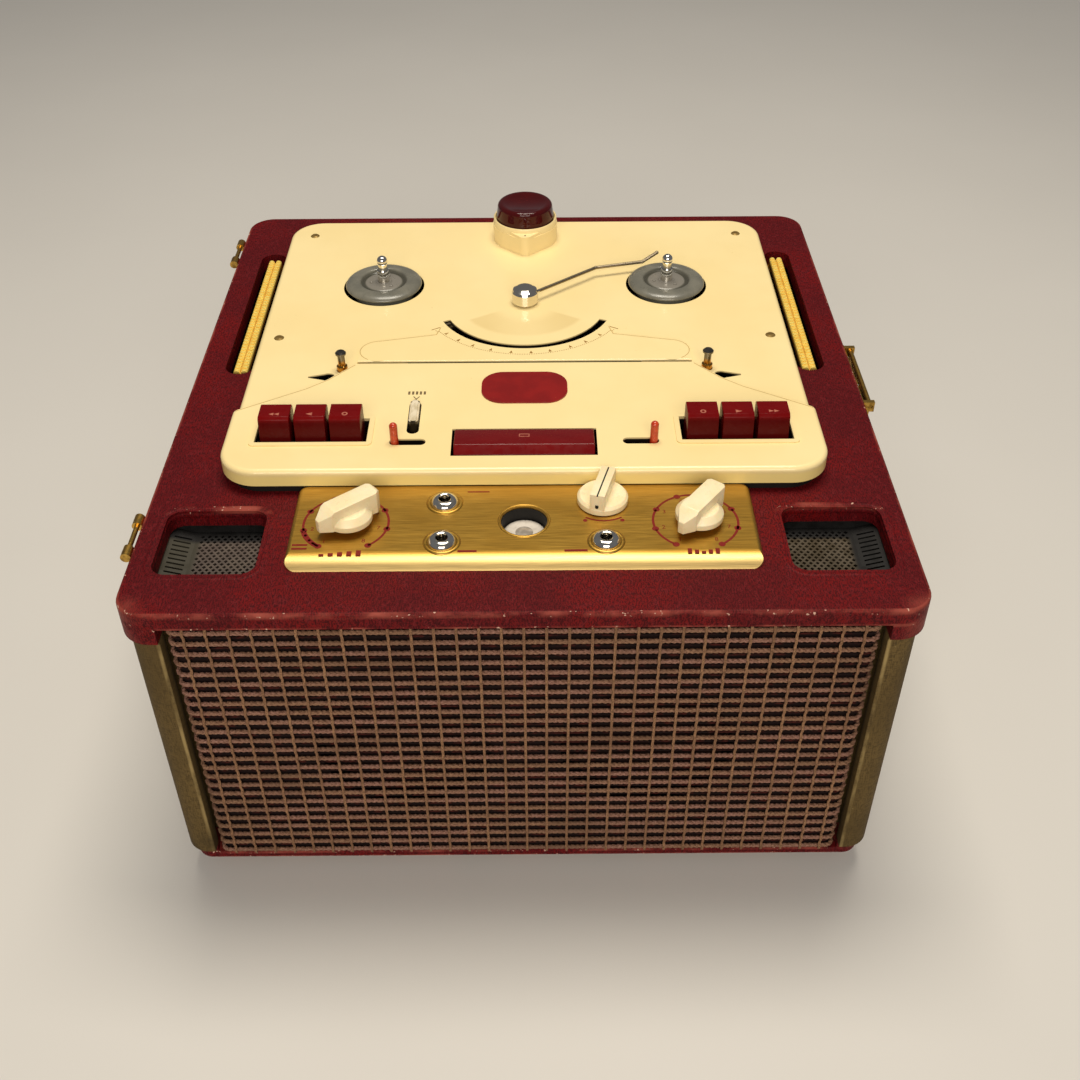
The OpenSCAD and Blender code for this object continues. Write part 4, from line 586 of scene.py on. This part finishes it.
def polygon(bm, points, height):
    """A flat printed patch, drawn anticlockwise."""
    middle = [sum(c) / len(points) for c in zip(*points)]
    z = height(*middle)
    bm.faces.new([bm.verts.new((x, y, z)) for x, y in points])


def arc_line(bm, cx, cy, r, width, start, end, height, step=4.0):
    """A printed arc from one angle up to another, in degrees from +X."""
    count = max(2, int((end - start) / step))
    for i in range(count):
        corners = [(q, radians(start + (end - start) * k / count)) for q, k in
                   ((r - width / 2, i), (r + width / 2, i), (r + width / 2, i + 1), (r - width / 2, i + 1))]
        polygon(bm, [(cx + q * cos(a), cy + q * sin(a)) for q, a in corners], height)


def spot(bm, cx, cy, r, height):
    """A printed dot."""
    polygon(bm, [(cx + r * cos(radians(a)), cy + r * sin(radians(a))) for a in range(0, 360, 30)], height)


def bar(bm, x0, y0, x1, y1, width, height):
    """A printed straight line."""
    side = Vector((y0 - y1, x1 - x0)).normalized() * width / 2
    corners = ((x0, y0, -1), (x1, y1, -1), (x1, y1, 1), (x0, y0, 1))
    polygon(bm, [(x + s * side.x, y + s * side.y) for x, y, s in corners], height)


def ink(name, colour, thin):
    """Printing ink that has worn through in places."""
    made = Finish(name, Roughness=0.5, Specular_IOR_Level=0.3)
    made.wear("Base Color", made.mix(made.patches(1.1, 3.0, 0.5, 0.78), colour, thin))
    return made


brown_ink = ink("brown_ink", tint(150, 108, 44), tint(206, 172, 104))
on_deck = landing("deck_plate", "head_cover")
scale_r = 67
scale = bmesh.new()
for k in range(-46, 47):
    a = radians(-90 + 1.26 * k)
    spot(scale, hub[0] + scale_r * cos(a), hub[1] + scale_r * sin(a), 0.36, on_deck)
for turn in (-50, -40, -30, -19, -7.5, 3.5, 14, 26, 36, 47):
    a = radians(-90 + turn)
    side = Vector((-sin(a), cos(a))) * 1.1
    foot = Vector(hub) + Vector((cos(a), sin(a))) * (scale_r - 1)
    tip = Vector(hub) + Vector((cos(a), sin(a))) * (scale_r - 4)
    polygon(scale, [tuple(foot + side), tuple(tip), tuple(foot - side)], on_deck)
for turn in (-60, 60):
    a = radians(-90 + turn)
    near_end, far_end = [(hub[0] + r * cos(a), hub[1] + r * sin(a)) for r in (scale_r - 6, scale_r + 2)]
    bar(scale, *near_end, *far_end, 0.7, on_deck)
piece("gauge_scale", scale, brown_ink, "cabinet", closed=False)

head_low, head_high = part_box("head_cover")
head_front, head_end = head_low.y * 1000, head_high.x * 1000 - 12
edge = [(head_end + 11.5 * cos(radians(a)), head_front + 12 + 11.5 * sin(radians(a))) for a in range(-60, 91, 15)]
edge += [(56, head_front + 31), (53.6, head_front + 40)]
flank = [(168, front + 157.4), (130, front + 180.3), (117.6, front + 190.3), (103.4, front + 206.6)]
# Painted shadow: thin brown lines along the head cover's edge and the front cover's flanks.
seam_shadow_lines = bmesh.new()
for points, height in ((edge, landing("head_cover")), (flank, landing("front_cover"))):
    for (x0, y0), (x1, y1) in zip(points, points[1:]):
        bar(seam_shadow_lines, x0, y0, x1, y1, 0.5, height)
        bar(seam_shadow_lines, -x1, y1, -x0, y0, 0.5, height)
seam_shade = ink("seam_shade", tint(196, 164, 100), tint(222, 192, 126))
piece("cover_seam_shadows", seam_shadow_lines, seam_shade, "cabinet", closed=False)


# Metal fittings: dull brass hinges, latch and brackets on the case, slotted screws gone brown, turned
# posts with brass feet, plated spindles, and the gauge's plated hub with its duller wire.
brass = Finish("dull_brass", Metallic=1.0)
patina = brass.patches(5, 5.0, 0.35, 0.7)
brass.wear("Base Color", brass.mix(patina, tint(206, 166, 84), tint(130, 98, 44)))
brass.wear("Roughness", brass.ease(patina, 0.0, 1.0, 0.26, 0.5))
dress(brass, "hinge_leaves", "latch_plate", "latch_lever", "handle_brackets")

screw = Finish("enamelled_brass", Metallic=0.5, Roughness=0.4)
proud = screw.ease(screw.z, plate - 0.5, plate + 0.3)
screw.wear("Base Color", screw.mix(proud, tint(78, 58, 24), tint(150, 122, 66)))
dress(screw, "deck_screws")

post = Finish("post_steel", Metallic=1.0)
foot_brass = post.ease(post.z, plate + 5, plate + 8)
post.wear("Base Color", post.mix(foot_brass, tint(190, 138, 62), tint(120, 114, 104)))
post.wear("Roughness", post.ease(post.noise(3, 3.0), 0.3, 0.7, 0.12, 0.3))
dress(post, "guide_posts")

chrome = Finish("bright_plate", Metallic=1.0)
haze = chrome.patches(6, 4.0, 0.4, 0.75)
chrome.wear("Base Color", chrome.mix(haze, tint(232, 228, 220), tint(206, 198, 184)))
chrome.wear("Roughness", chrome.ease(haze, 0.0, 1.0, 0.06, 0.2))
dress(chrome, "spindle_left", "spindle_right")

gauge = Finish("gauge_plate", Metallic=1.0)
wire = gauge.ease(gauge.reach(*hub), 9, 11)
gauge.wear("Base Color", gauge.mix(wire, tint(226, 220, 208), tint(148, 134, 112)))
dull = gauge.both(wire, 0.36)
gauge.wear("Roughness", gauge.either(dull, gauge.ease(gauge.noise(6, 4.0), 0.4, 0.75, 0.08, 0.2)))
dress(gauge, "gauge_arm")


# Reel tables: turned discs in grey enamel with a low flat middle, a groove darkened with painted shade
# and a domed ring, each on its drive shaft, with three small studs that locate a reel.
def turned(bm, cx, cy, profile, steps=64):
    """Turns a profile of (radius, height) pairs about an upright axis."""
    rings = []
    spokes = [2 * pi * i / steps for i in range(steps)]
    for r, z in profile:
        if r < 0.01:
            rings.append([bm.verts.new((cx, cy, z))])
        else:
            rings.append([bm.verts.new((cx + r * cos(a), cy + r * sin(a), z)) for a in spokes])
    for one, two in zip(rings, rings[1:]):
        for i in range(steps):
            j = (i + 1) % steps
            quad = [one[i % len(one)], one[j % len(one)], two[j % len(two)], two[i % len(two)]]
            bm.faces.new(list(dict.fromkeys(quad)))


for body, node in (("reel_left", "reel_table_left"), ("reel_right", "reel_table_right")):
    low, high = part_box(node)
    cx, cy = (low.x + high.x) * 500, (low.y + high.y) * 500
    shaft_low = low.z * 1000
    grey = Finish(node + "_enamel", Coat_Weight=0.25, Coat_Roughness=0.15)
    span = grey.reach(cx, cy)
    tone = grey.mix(grey.patches(11, 4.0, 0.35, 0.7), tint(104, 102, 92), tint(120, 117, 105))
    tone = grey.mix(grey.ease(span, 12.6, 11.6), tone, tint(126, 121, 112))
    # Painted shade: the groove is darker.
    groove = grey.near(grey.calc("SUBTRACT", span, 13.8), 2.0)
    grey.wear("Base Color", grey.mix(groove, tone, tint(66, 64, 54)))
    grey.wear("Roughness", grey.ease(grey.noise(5, 4.0), 0.3, 0.7, 0.24, 0.38))
    table = bmesh.new()
    dome = [(17.2 + 8.3 * cos(radians(a)), plate + 1.7 + 3.3 * sin(radians(a))) for a in range(0, 91, 9)]
    shaft = [(0, shaft_low), (5, shaft_low), (5, plate - 4), (21, plate - 4), (21, plate + 0.9),
             (25.2, plate + 1.1)]
    dish = [(16.2, plate + 4.8), (15.4, plate + 4.2), (14.9, plate + 3.1), (14.2, plate + 2.6),
            (13.0, plate + 2.6), (12.3, plate + 3.2), (11.4, plate + 3.5), (5.6, plate + 3.5),
            (5.0, plate + 4.1), (0, plate + 4.2)]
    turned(table, cx, cy, shaft + dome + dish)
    stud = [(0, plate + 3), (1.1, plate + 3), (1.1, plate + 4), (0.7, plate + 4.3), (0, plate + 4.3)]
    for k in range(3):
        a = radians(190 + 120 * k)
        turned(table, cx + 8.4 * cos(a), cy + 8.4 * sin(a), stud, 14)
    disc = piece(node + "_disc", table, grey, body, 30)
    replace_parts(disc, node)


# Speed control: a teardrop housing in deck cream, whose rim stands round the foot of a dark red
# clear knob; a small drilled mark on the nose, drawn as a black dot of painted shade, shows the setting.
clear_red = Finish("clear_red", Roughness=0.07, Transmission_Weight=0.3, IOR=1.45, Specular_IOR_Level=0.35)
clear_red.wear("Base Color", clear_red.mix(clear_red.noise(9, 3.0), tint(66, 8, 9), tint(86, 12, 12)))
low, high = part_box("speed_knob")
speed_y = (low.y + high.y) * 500
knob_low, knob_top = low.z * 1000, high.z * 1000
foot = plate + 14.5
knob = bmesh.new()
shoulder = [(16.6 + 2.6 * cos(radians(a)), knob_top - 2.6 + 2.6 * sin(radians(a))) for a in range(0, 91, 15)]
stem = [(0, knob_low), (3, knob_low), (3, foot), (20.3, foot), (20.4, foot + 1), (20.0, foot + 5)]
crown = [(14.5, knob_top - 0.2), (13.2, knob_top - 0.9), (0, knob_top - 1.5)]
turned(knob, 0, speed_y, stem + shoulder + crown)
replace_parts(piece("speed_knob_moulding", knob, clear_red, "speed_control", 32), "speed_knob")
ring = bmesh.new()
rim_r = 22.6
spokes = [2 * pi * k / 72 for k in range(72)]
band(ring, [(rim_r * cos(a), speed_y + rim_r * sin(a), cos(a), sin(a)) for a in spokes],
     [(-0.4, plate + 11), (-0.4, plate + 16.2), (-0.9, plate + 16.8), (-1.5, plate + 16.6), (-1.6, plate + 11)])
piece("speed_housing_rim", ring, cream, "cabinet", 40)
# Painted shade: a black dot stands for the drilled hole.
setting = bmesh.new()
spot(setting, 0, speed_y - 25.6, 0.7, landing("speed_housing"))
piece("speed_index", setting, black, "cabinet", closed=False)


# Keys and stop bar: moulded in maroon plastic with softened edges, painted darker down their fronts as
# painted shade; plain marks are hot-stamped on their tops.
def softened(node, width, finish, body, segments=3, angle=30):
    """A copy of a solid with its hard edges rounded, which stands for the solid."""
    bm = bmesh.new()
    bm.from_mesh(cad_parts[node].data)
    bmesh.ops.remove_doubles(bm, verts=bm.verts, dist=2e-6)
    bmesh.ops.dissolve_limit(bm, angle_limit=radians(1), verts=bm.verts, edges=bm.edges)
    hard = [e for e in bm.edges if len(e.link_faces) == 2 and e.calc_face_angle(0) > radians(angle)]
    bmesh.ops.bevel(bm, geom=hard, offset=width / 1000, segments=segments, profile=0.5, affect="EDGES",
                    clamp_overlap=True)
    bmesh.ops.scale(bm, vec=(1000, 1000, 1000), verts=bm.verts)
    made = piece(node + "_moulding", bm, finish, body)
    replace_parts(made, node)


def maroon(name, crown, shine):
    """Maroon plastic, painted darker below the height of its crown, as painted shade down its fronts."""
    made = Finish(name, Coat_Weight=0.3 * shine, Coat_Roughness=0.1, Specular_IOR_Level=shine)
    tone = made.mix(made.patches(7, 4.0, 0.35, 0.7, (3, 1, 1)), tint(104, 9, 11), tint(110, 11, 12))
    # Painted shade: darker below the crown, down the fronts.
    made.wear("Base Color", made.mix(made.ease(made.z, crown - 1, crown - 4), tone, tint(80, 7, 8)))
    made.wear("Roughness", made.ease(made.noise(4, 4.0), 0.3, 0.7, 0.22, 0.36))
    made.bump(made.noise(1.4, 2.0), 0.01, 0.3)
    return made


key_maroon = maroon("maroon_key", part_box("play_key_left")[1].z * 1000, 0.07)
stamp = ink("stamped_mark", tint(176, 104, 84), tint(128, 46, 40))
keys = (("fast_key_left", "key_left_fast"), ("play_key_left", "key_left_play"),
        ("record_key_left", "key_left_record"), ("record_key_right", "key_right_record"),
        ("play_key_right", "key_right_play"), ("fast_key_right", "key_right_fast"))
for node, body in keys:
    softened(node, 0.5, key_maroon, body)
    low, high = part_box(node)
    x = (low.x + high.x) * 500
    y = front + 133.5
    on_key = landing(node)
    way = -1 if node.endswith("left") else 1
    mark = bmesh.new()
    if node.startswith("fast"):
        for k in (-1.6, 1.4):
            points = [(x + way * (k - 1.3), y - 1.3), (x + way * (k + 1.5), y), (x + way * (k - 1.3), y + 1.3)]
            polygon(mark, points if way > 0 else points[::-1], on_key)
    elif node.startswith("play"):
        points = [(x - way * 1.6, y - 1.5), (x + way * 2.0, y), (x - way * 1.6, y + 1.5)]
        polygon(mark, points if way > 0 else points[::-1], on_key)
    else:
        arc_line(mark, x, y, 1.3, 0.8, 0, 360, on_key, 20)
    piece(node + "_mark", mark, stamp, body, closed=False)

softened("stop_bar", 0.6, maroon("maroon_bar", cover, 0.2), "stop")
mark = bmesh.new()
stop_y = front + 129
for x0, y0, x1, y1 in ((-3, -1.6, 3, -1.0), (-3, 1.0, 3, 1.6), (-3, -1.0, -2.4, 1.0), (2.4, -1.0, 3, 1.0)):
    points = [(x0, y0), (x1, y0), (x1, y1), (x0, y1)]
    polygon(mark, [(x, stop_y + y) for x, y in points], landing("stop_bar"))
piece("stop_bar_mark", mark, stamp, "stop", closed=False)


# Record levers and pause slide: orange-red pegs in their slots, and an ivory slide with a small
# printed sign behind it.
orange = Finish("orange_plastic", Roughness=0.25, Coat_Weight=0.3)
orange.wear("Base Color", orange.mix(orange.patches(3, 3.0, 0.35, 0.7), tint(178, 50, 22), tint(202, 70, 34)))
dress(orange, "record_lever_left", "record_lever_right")

ivory = Finish("ivory_plastic", Roughness=0.32, Subsurface_Weight=0.1, Subsurface_Scale=0.002)
ivory.wear("Base Color", ivory.mix(ivory.patches(10, 4.0, 0.35, 0.7), tint(246, 226, 180), tint(251, 234, 194)))
ivory.wear("Roughness", ivory.ease(ivory.noise(4, 4.0), 0.3, 0.7, 0.26, 0.4))

low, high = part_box("pause_key")
pause_x, pause_mid = (low.x + high.x) * 500, (low.y + high.y) * 500
half_w, half_d = (high.x - low.x) * 500, (high.y - low.y) * 500
slide = Finish("pause_slide", Roughness=0.3)
# Painted shade: a dark band round the slide's edge, where it sits down in its slot.
rim = slide.ease(slide.outline(abs(pause_x), pause_mid, half_w - 1.1, half_d - 1.4, half_w - 1.2), -0.3, 0.3)
slide_tone = slide.mix(slide.patches(3, 3.0, 0.35, 0.7, (1, 2, 1)), tint(232, 218, 190), tint(204, 188, 154))
slide.wear("Base Color", slide.mix(rim, slide_tone, tint(48, 38, 24)))
dress(slide, "pause_key")

pause_y = front + 168.5
on_cover = landing("front_cover")
sign = bmesh.new()
bar(sign, pause_x - 1.8, pause_y + 3, pause_x + 0.1, pause_y, 0.6, on_cover)
bar(sign, pause_x - 0.1, pause_y, pause_x + 1.8, pause_y + 3, 0.6, on_cover)
for k in range(-2, 3):
    bar(sign, pause_x + 2.3 * k, pause_y + 5, pause_x + 2.3 * k, pause_y + 8.4, 1.3, on_cover)
grey_ink = ink("grey_ink", tint(112, 92, 62), tint(170, 146, 100))
piece("pause_sign", sign, grey_ink, "cabinet", closed=False)


# Badge: a bare capsule of sheet metal, coated in deep red enamel and fixed flat on the front cover.
# The enamel is a little cloudy with age.
badge = Finish("red_enamel", Roughness=0.22, Coat_Weight=0.3, Coat_Roughness=0.08, Specular_IOR_Level=0.35)
badge.wear("Base Color", badge.mix(badge.patches(12, 4.0, 0.35, 0.7), tint(126, 14, 10), tint(140, 19, 14)))
dress(badge, "badge_plate")


# Control panel: gilt sheet with a rolled front edge and a pressed lip round each jack; dials and
# small signs are printed round the controls in red.
gilt = Finish("gilt", Metallic=1.0, Coat_Weight=0.45, Coat_Roughness=0.32)
brush = gilt.noise(0.25, 2.0, (60, 1, 1))
tarnish = gilt.patches(26, 4.0, 0.35, 0.7)
gold = gilt.mix(tarnish, tint(192, 150, 60), tint(182, 138, 48))
gold = gilt.mix(gilt.ease(brush, 0.3, 0.7), tint(168, 127, 40), gold)
# Painted highlight: paler gold along the rolled front edge.
gilt.wear("Base Color", gilt.mix(gilt.ease(gilt.y, front + 42, front + 36), gold, tint(220, 188, 120)))
gilt.wear("Roughness", gilt.ease(brush, 0.3, 0.7, 0.36, 0.46))
gilt.bump(brush, 0.015, 0.3)

panel = top + 4.6
panel_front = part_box("control_panel")[0].y * 1000
rolled = bmesh.new()
rolled.from_mesh(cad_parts["control_panel"].data)
bmesh.ops.scale(rolled, vec=(1000, 1000, 1000), verts=rolled.verts)
roll_r = 16
roll_start = panel_front + (roll_r ** 2 - (roll_r + top - panel) ** 2) ** 0.5
for k in range(25):
    level = panel_front + (roll_start - panel_front) * k / 24
    whole = rolled.verts[:] + rolled.edges[:] + rolled.faces[:]
    bmesh.ops.bisect_plane(rolled, geom=whole, dist=1e-4, plane_co=(0, level, 0), plane_no=(0, 1, 0))
for vert in rolled.verts:
    run = max(0.0, roll_start - vert.co.y)
    vert.co.z = min(vert.co.z, panel - roll_r + (roll_r ** 2 - run ** 2) ** 0.5) if run else vert.co.z
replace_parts(piece("control_panel_sheet", rolled, gilt, "cabinet", 48), "control_panel")

jacks = ((-43, front + 83), (-43, front + 50), (43, front + 50))
lips = bmesh.new()
nuts = bmesh.new()
jack_low, jack_high = (v.z * 1000 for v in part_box("jack_sockets"))
rise = jack_high - panel - 0.2
barrel = [(0, jack_low), (6, jack_low), (6, panel - 4), (7.6, panel - 4)]
bowl = [(3.9 + 3.7 * cos(radians(a)), panel + 0.2 + rise * sin(radians(a))) for a in range(0, 91, 10)]
bore = [(3.3, jack_high - 0.3), (3.1, jack_high - 1), (3.1, jack_low + 1.5), (0, jack_low + 1.5)]
lip = [(7.65, panel - 0.2), (10.2, panel - 0.2), (9.8, panel + 0.35), (9.0, panel + 0.75), (8.2, panel + 0.75),
       (7.65, panel + 0.3), (7.65, panel - 0.2)]
for cx, cy in jacks:
    turned(nuts, cx, cy, barrel + bowl + bore, 40)
    turned(lips, cx, cy, lip, 40)
piece("jack_lips", lips, gilt, "cabinet", 50)
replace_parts(piece("jack_bowls", nuts, chrome, "cabinet", 40), "jack_sockets")


def numeral(bm, figure, cx, cy, size, height):
    """A plain printed figure."""
    curve = bpy.data.curves.new("figure", "FONT")
    curve.body = figure
    curve.size = size
    curve.align_x = "CENTER"
    curve.align_y = "CENTER"
    curve.resolution_u = 2
    obj = bpy.data.objects.new("figure", curve)
    mesh = bpy.data.meshes.new_from_object(obj)
    z = height(cx, cy)
    rows = [bm.verts.new((cx + v.co.x, cy + v.co.y, z)) for v in mesh.vertices]
    for face in mesh.polygons:
        bm.faces.new([rows[i] for i in face.vertices])
    bpy.data.objects.remove(obj)
    bpy.data.curves.remove(curve)
    bpy.data.meshes.remove(mesh)


red_ink = ink("red_ink", tint(122, 10, 3), tint(130, 36, 8))
on_panel = landing("control_panel")
dials = bmesh.new()
dial_y = front + 66
dial_r = 22.6
figure_r = 18
volume_x, tone_x = -94.7, 91.3
selector_at = (42.5, front + 84)
for cx, first, last in ((volume_x, 236, -54), (tone_x, 238, -58)):
    arc_line(dials, cx, dial_y, dial_r, 1.3, last, first, on_panel)
    for k in range(8):
        a = radians(first + (last - first) * k / 7)
        spot(dials, cx + dial_r * cos(a), dial_y + dial_r * sin(a), 1.9, on_panel)
        numeral(dials, str(k + 1), cx + figure_r * cos(a), dial_y + figure_r * sin(a), 4.2, on_panel)
arc_line(dials, volume_x, dial_y, 22.8, 3.0, 196, 236, on_panel)
for k in range(5):
    bar(dials, -105 + 4.8 * k, front + 39.6, -105 + 4.8 * k, front + 41 + 0.7 * k, 2.6, on_panel)
    bar(dials, 86 + 3.6 * k, front + 39.6, 86 + 3.6 * k, front + 41.4 + 1.1 * abs(k - 2), 2.2, on_panel)
for y in (front + 45.4, front + 48.4):
    bar(dials, -121, y, -113, y, 1.4, on_panel)
bar(dials, -31, front + 92.6, -19, front + 92.6, 1.0, on_panel)
bar(dials, -34.5, front + 42.6, -24.5, front + 42.6, 1.5, on_panel)
bar(dials, 21, front + 42.6, 33, front + 42.6, 1.5, on_panel)
arc_line(dials, *selector_at, 17.2, 1.0, 236, 304, on_panel, 8)
for cx in (32.6, 52.4):
    spot(dials, cx, front + 67.2, 1.2, on_panel)
piece("dial_print", dials, red_ink, "cabinet", closed=False)


# Tuning eye: a glass tube in a black shield, which stands under a round hole in the panel; its pale
# screen has a grey cap in the middle.
eye_at = (0, front + 67.5)
screen = Finish("eye_screen", Roughness=0.12, Coat_Weight=0.6)
span = screen.reach(*eye_at)
screen_tone = screen.mix(screen.ease(span, 4.6, 5.0), tint(158, 148, 136), tint(238, 228, 214))
screen.wear("Base Color", screen.mix(screen.patches(4, 4.0, 0.4, 0.8), screen_tone, tint(214, 204, 190)))

eye_low, eye_high = (v.z * 1000 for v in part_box("eye_tube"))
tube = bmesh.new()
cap = [(11.4 * cos(radians(a)), eye_high - 0.9 + 0.9 * sin(radians(a))) for a in range(0, 91, 10)]
stem = [(0, eye_low), (8.6, eye_low), (8.6, eye_low + 12), (11.5, eye_low + 14), (11.5, eye_high - 1.2)]
turned(tube, *eye_at, stem + cap)
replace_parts(piece("eye_tube_glass", tube, screen, "cabinet", 40), "eye_tube")


# Knobs: ivory pointer knobs for volume and tone, and a disc with a finger bar for the selector, whose
# groove is filled with black.
for node, body in (("volume_knob", "volume"), ("tone_knob", "tone")):
    softened(node, 1.6, ivory, body, 4)
softened("selector_knob", 0.5, ivory, "selector")
bar_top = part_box("selector_knob")[1].z * 1000
filled = bmesh.new()
groove_turn = radians(254)
groove_half = 13.3
way = Vector((cos(groove_turn), sin(groove_turn)))
middle = Vector(selector_at)
across = Vector((-way.y, way.x)) * 0.42
ends = [middle - way * groove_half, middle + way * groove_half]
sides = ((ends[0], 1), (ends[0], -1), (ends[1], -1), (ends[1], 1))
corners = [(*(p + s * across), z) for p, s in sides for z in (bar_top - 1.1, bar_top - 0.3)]
rows = [filled.verts.new(c) for c in corners]
for quad in ((0, 2, 4, 6), (1, 7, 5, 3), (0, 1, 3, 2), (2, 3, 5, 4), (4, 5, 7, 6), (6, 7, 1, 0)):
    filled.faces.new([rows[i] for i in quad])
tip = middle + way * 13.6
turned(filled, tip.x, tip.y, [(0, bar_top - 8), (0.9, bar_top - 8), (0.9, bar_top - 6.6), (0, bar_top - 6.6)], 16)
piece("selector_line", filled, black, "selector")


# Floor, light and camera: a pale floor under a broad overhead light and a softer one in front, with
# the camera where the photograph was taken.
ground = bmesh.new()
polygon(ground, [(-4, -4), (4, -4), (4, 4), (-4, 4)], lambda x, y: 0)
ground_mesh = bpy.data.meshes.new("floor")
ground.to_mesh(ground_mesh)
ground.free()
pale = Finish("pale_floor", Roughness=0.6)
pale.wear("Base Color", pale.mix(pale.noise(300, 3.0), tint(214, 210, 204), tint(222, 218, 212)))
ground_mesh.materials.append(pale.material)
floor = bpy.data.objects.new("floor", ground_mesh)
bpy.context.collection.objects.link(floor)


def lamp(name, place, aim, width, depth, power, colour):
    """A rectangular lamp turned towards its aim."""
    light = bpy.data.lights.new(name, "AREA")
    light.shape = "RECTANGLE"
    light.size = width
    light.size_y = depth
    light.energy = power
    light.color = colour
    obj = bpy.data.objects.new(name, light)
    bpy.context.collection.objects.link(obj)
    obj.location = place
    obj.rotation_euler = (Vector(aim) - Vector(place)).to_track_quat("-Z", "Y").to_euler()


lamp("overhead", (0.05, 0.25, 1.95), (0, 0.02, 0.2), 1.0, 0.7, 26, (1.0, 0.93, 0.8))
lamp("front_fill", (0.0, -2.3, 1.5), (0, 0, 0.15), 1.8, 1.0, 38, (1.0, 0.93, 0.82))
world = bpy.data.worlds.new("studio")
world.use_nodes = True
world.node_tree.nodes["Background"].inputs[0].default_value = (0.86, 0.87, 0.9, 1)
world.node_tree.nodes["Background"].inputs[1].default_value = 0.17
bpy.context.scene.world = world
bpy.context.scene.view_settings.view_transform = "Standard"

eye = bpy.data.cameras.new("camera")
eye.sensor_width = 36
eye.lens = 42.77
camera = bpy.data.objects.new("camera", eye)
bpy.context.collection.objects.link(camera)
stand = Matrix.Translation((0.0067, (front - 464.05) / 1000, (top + 435.5) / 1000))
pan = Matrix.Rotation(radians(-0.1856), 4, "Z")
tilt = Matrix.Rotation(radians(90 - 39.907), 4, "X")
cant = Matrix.Rotation(radians(-0.2766), 4, "Z")
camera.matrix_world = stand @ (pan @ tilt @ cant)
bpy.context.scene.camera = camera
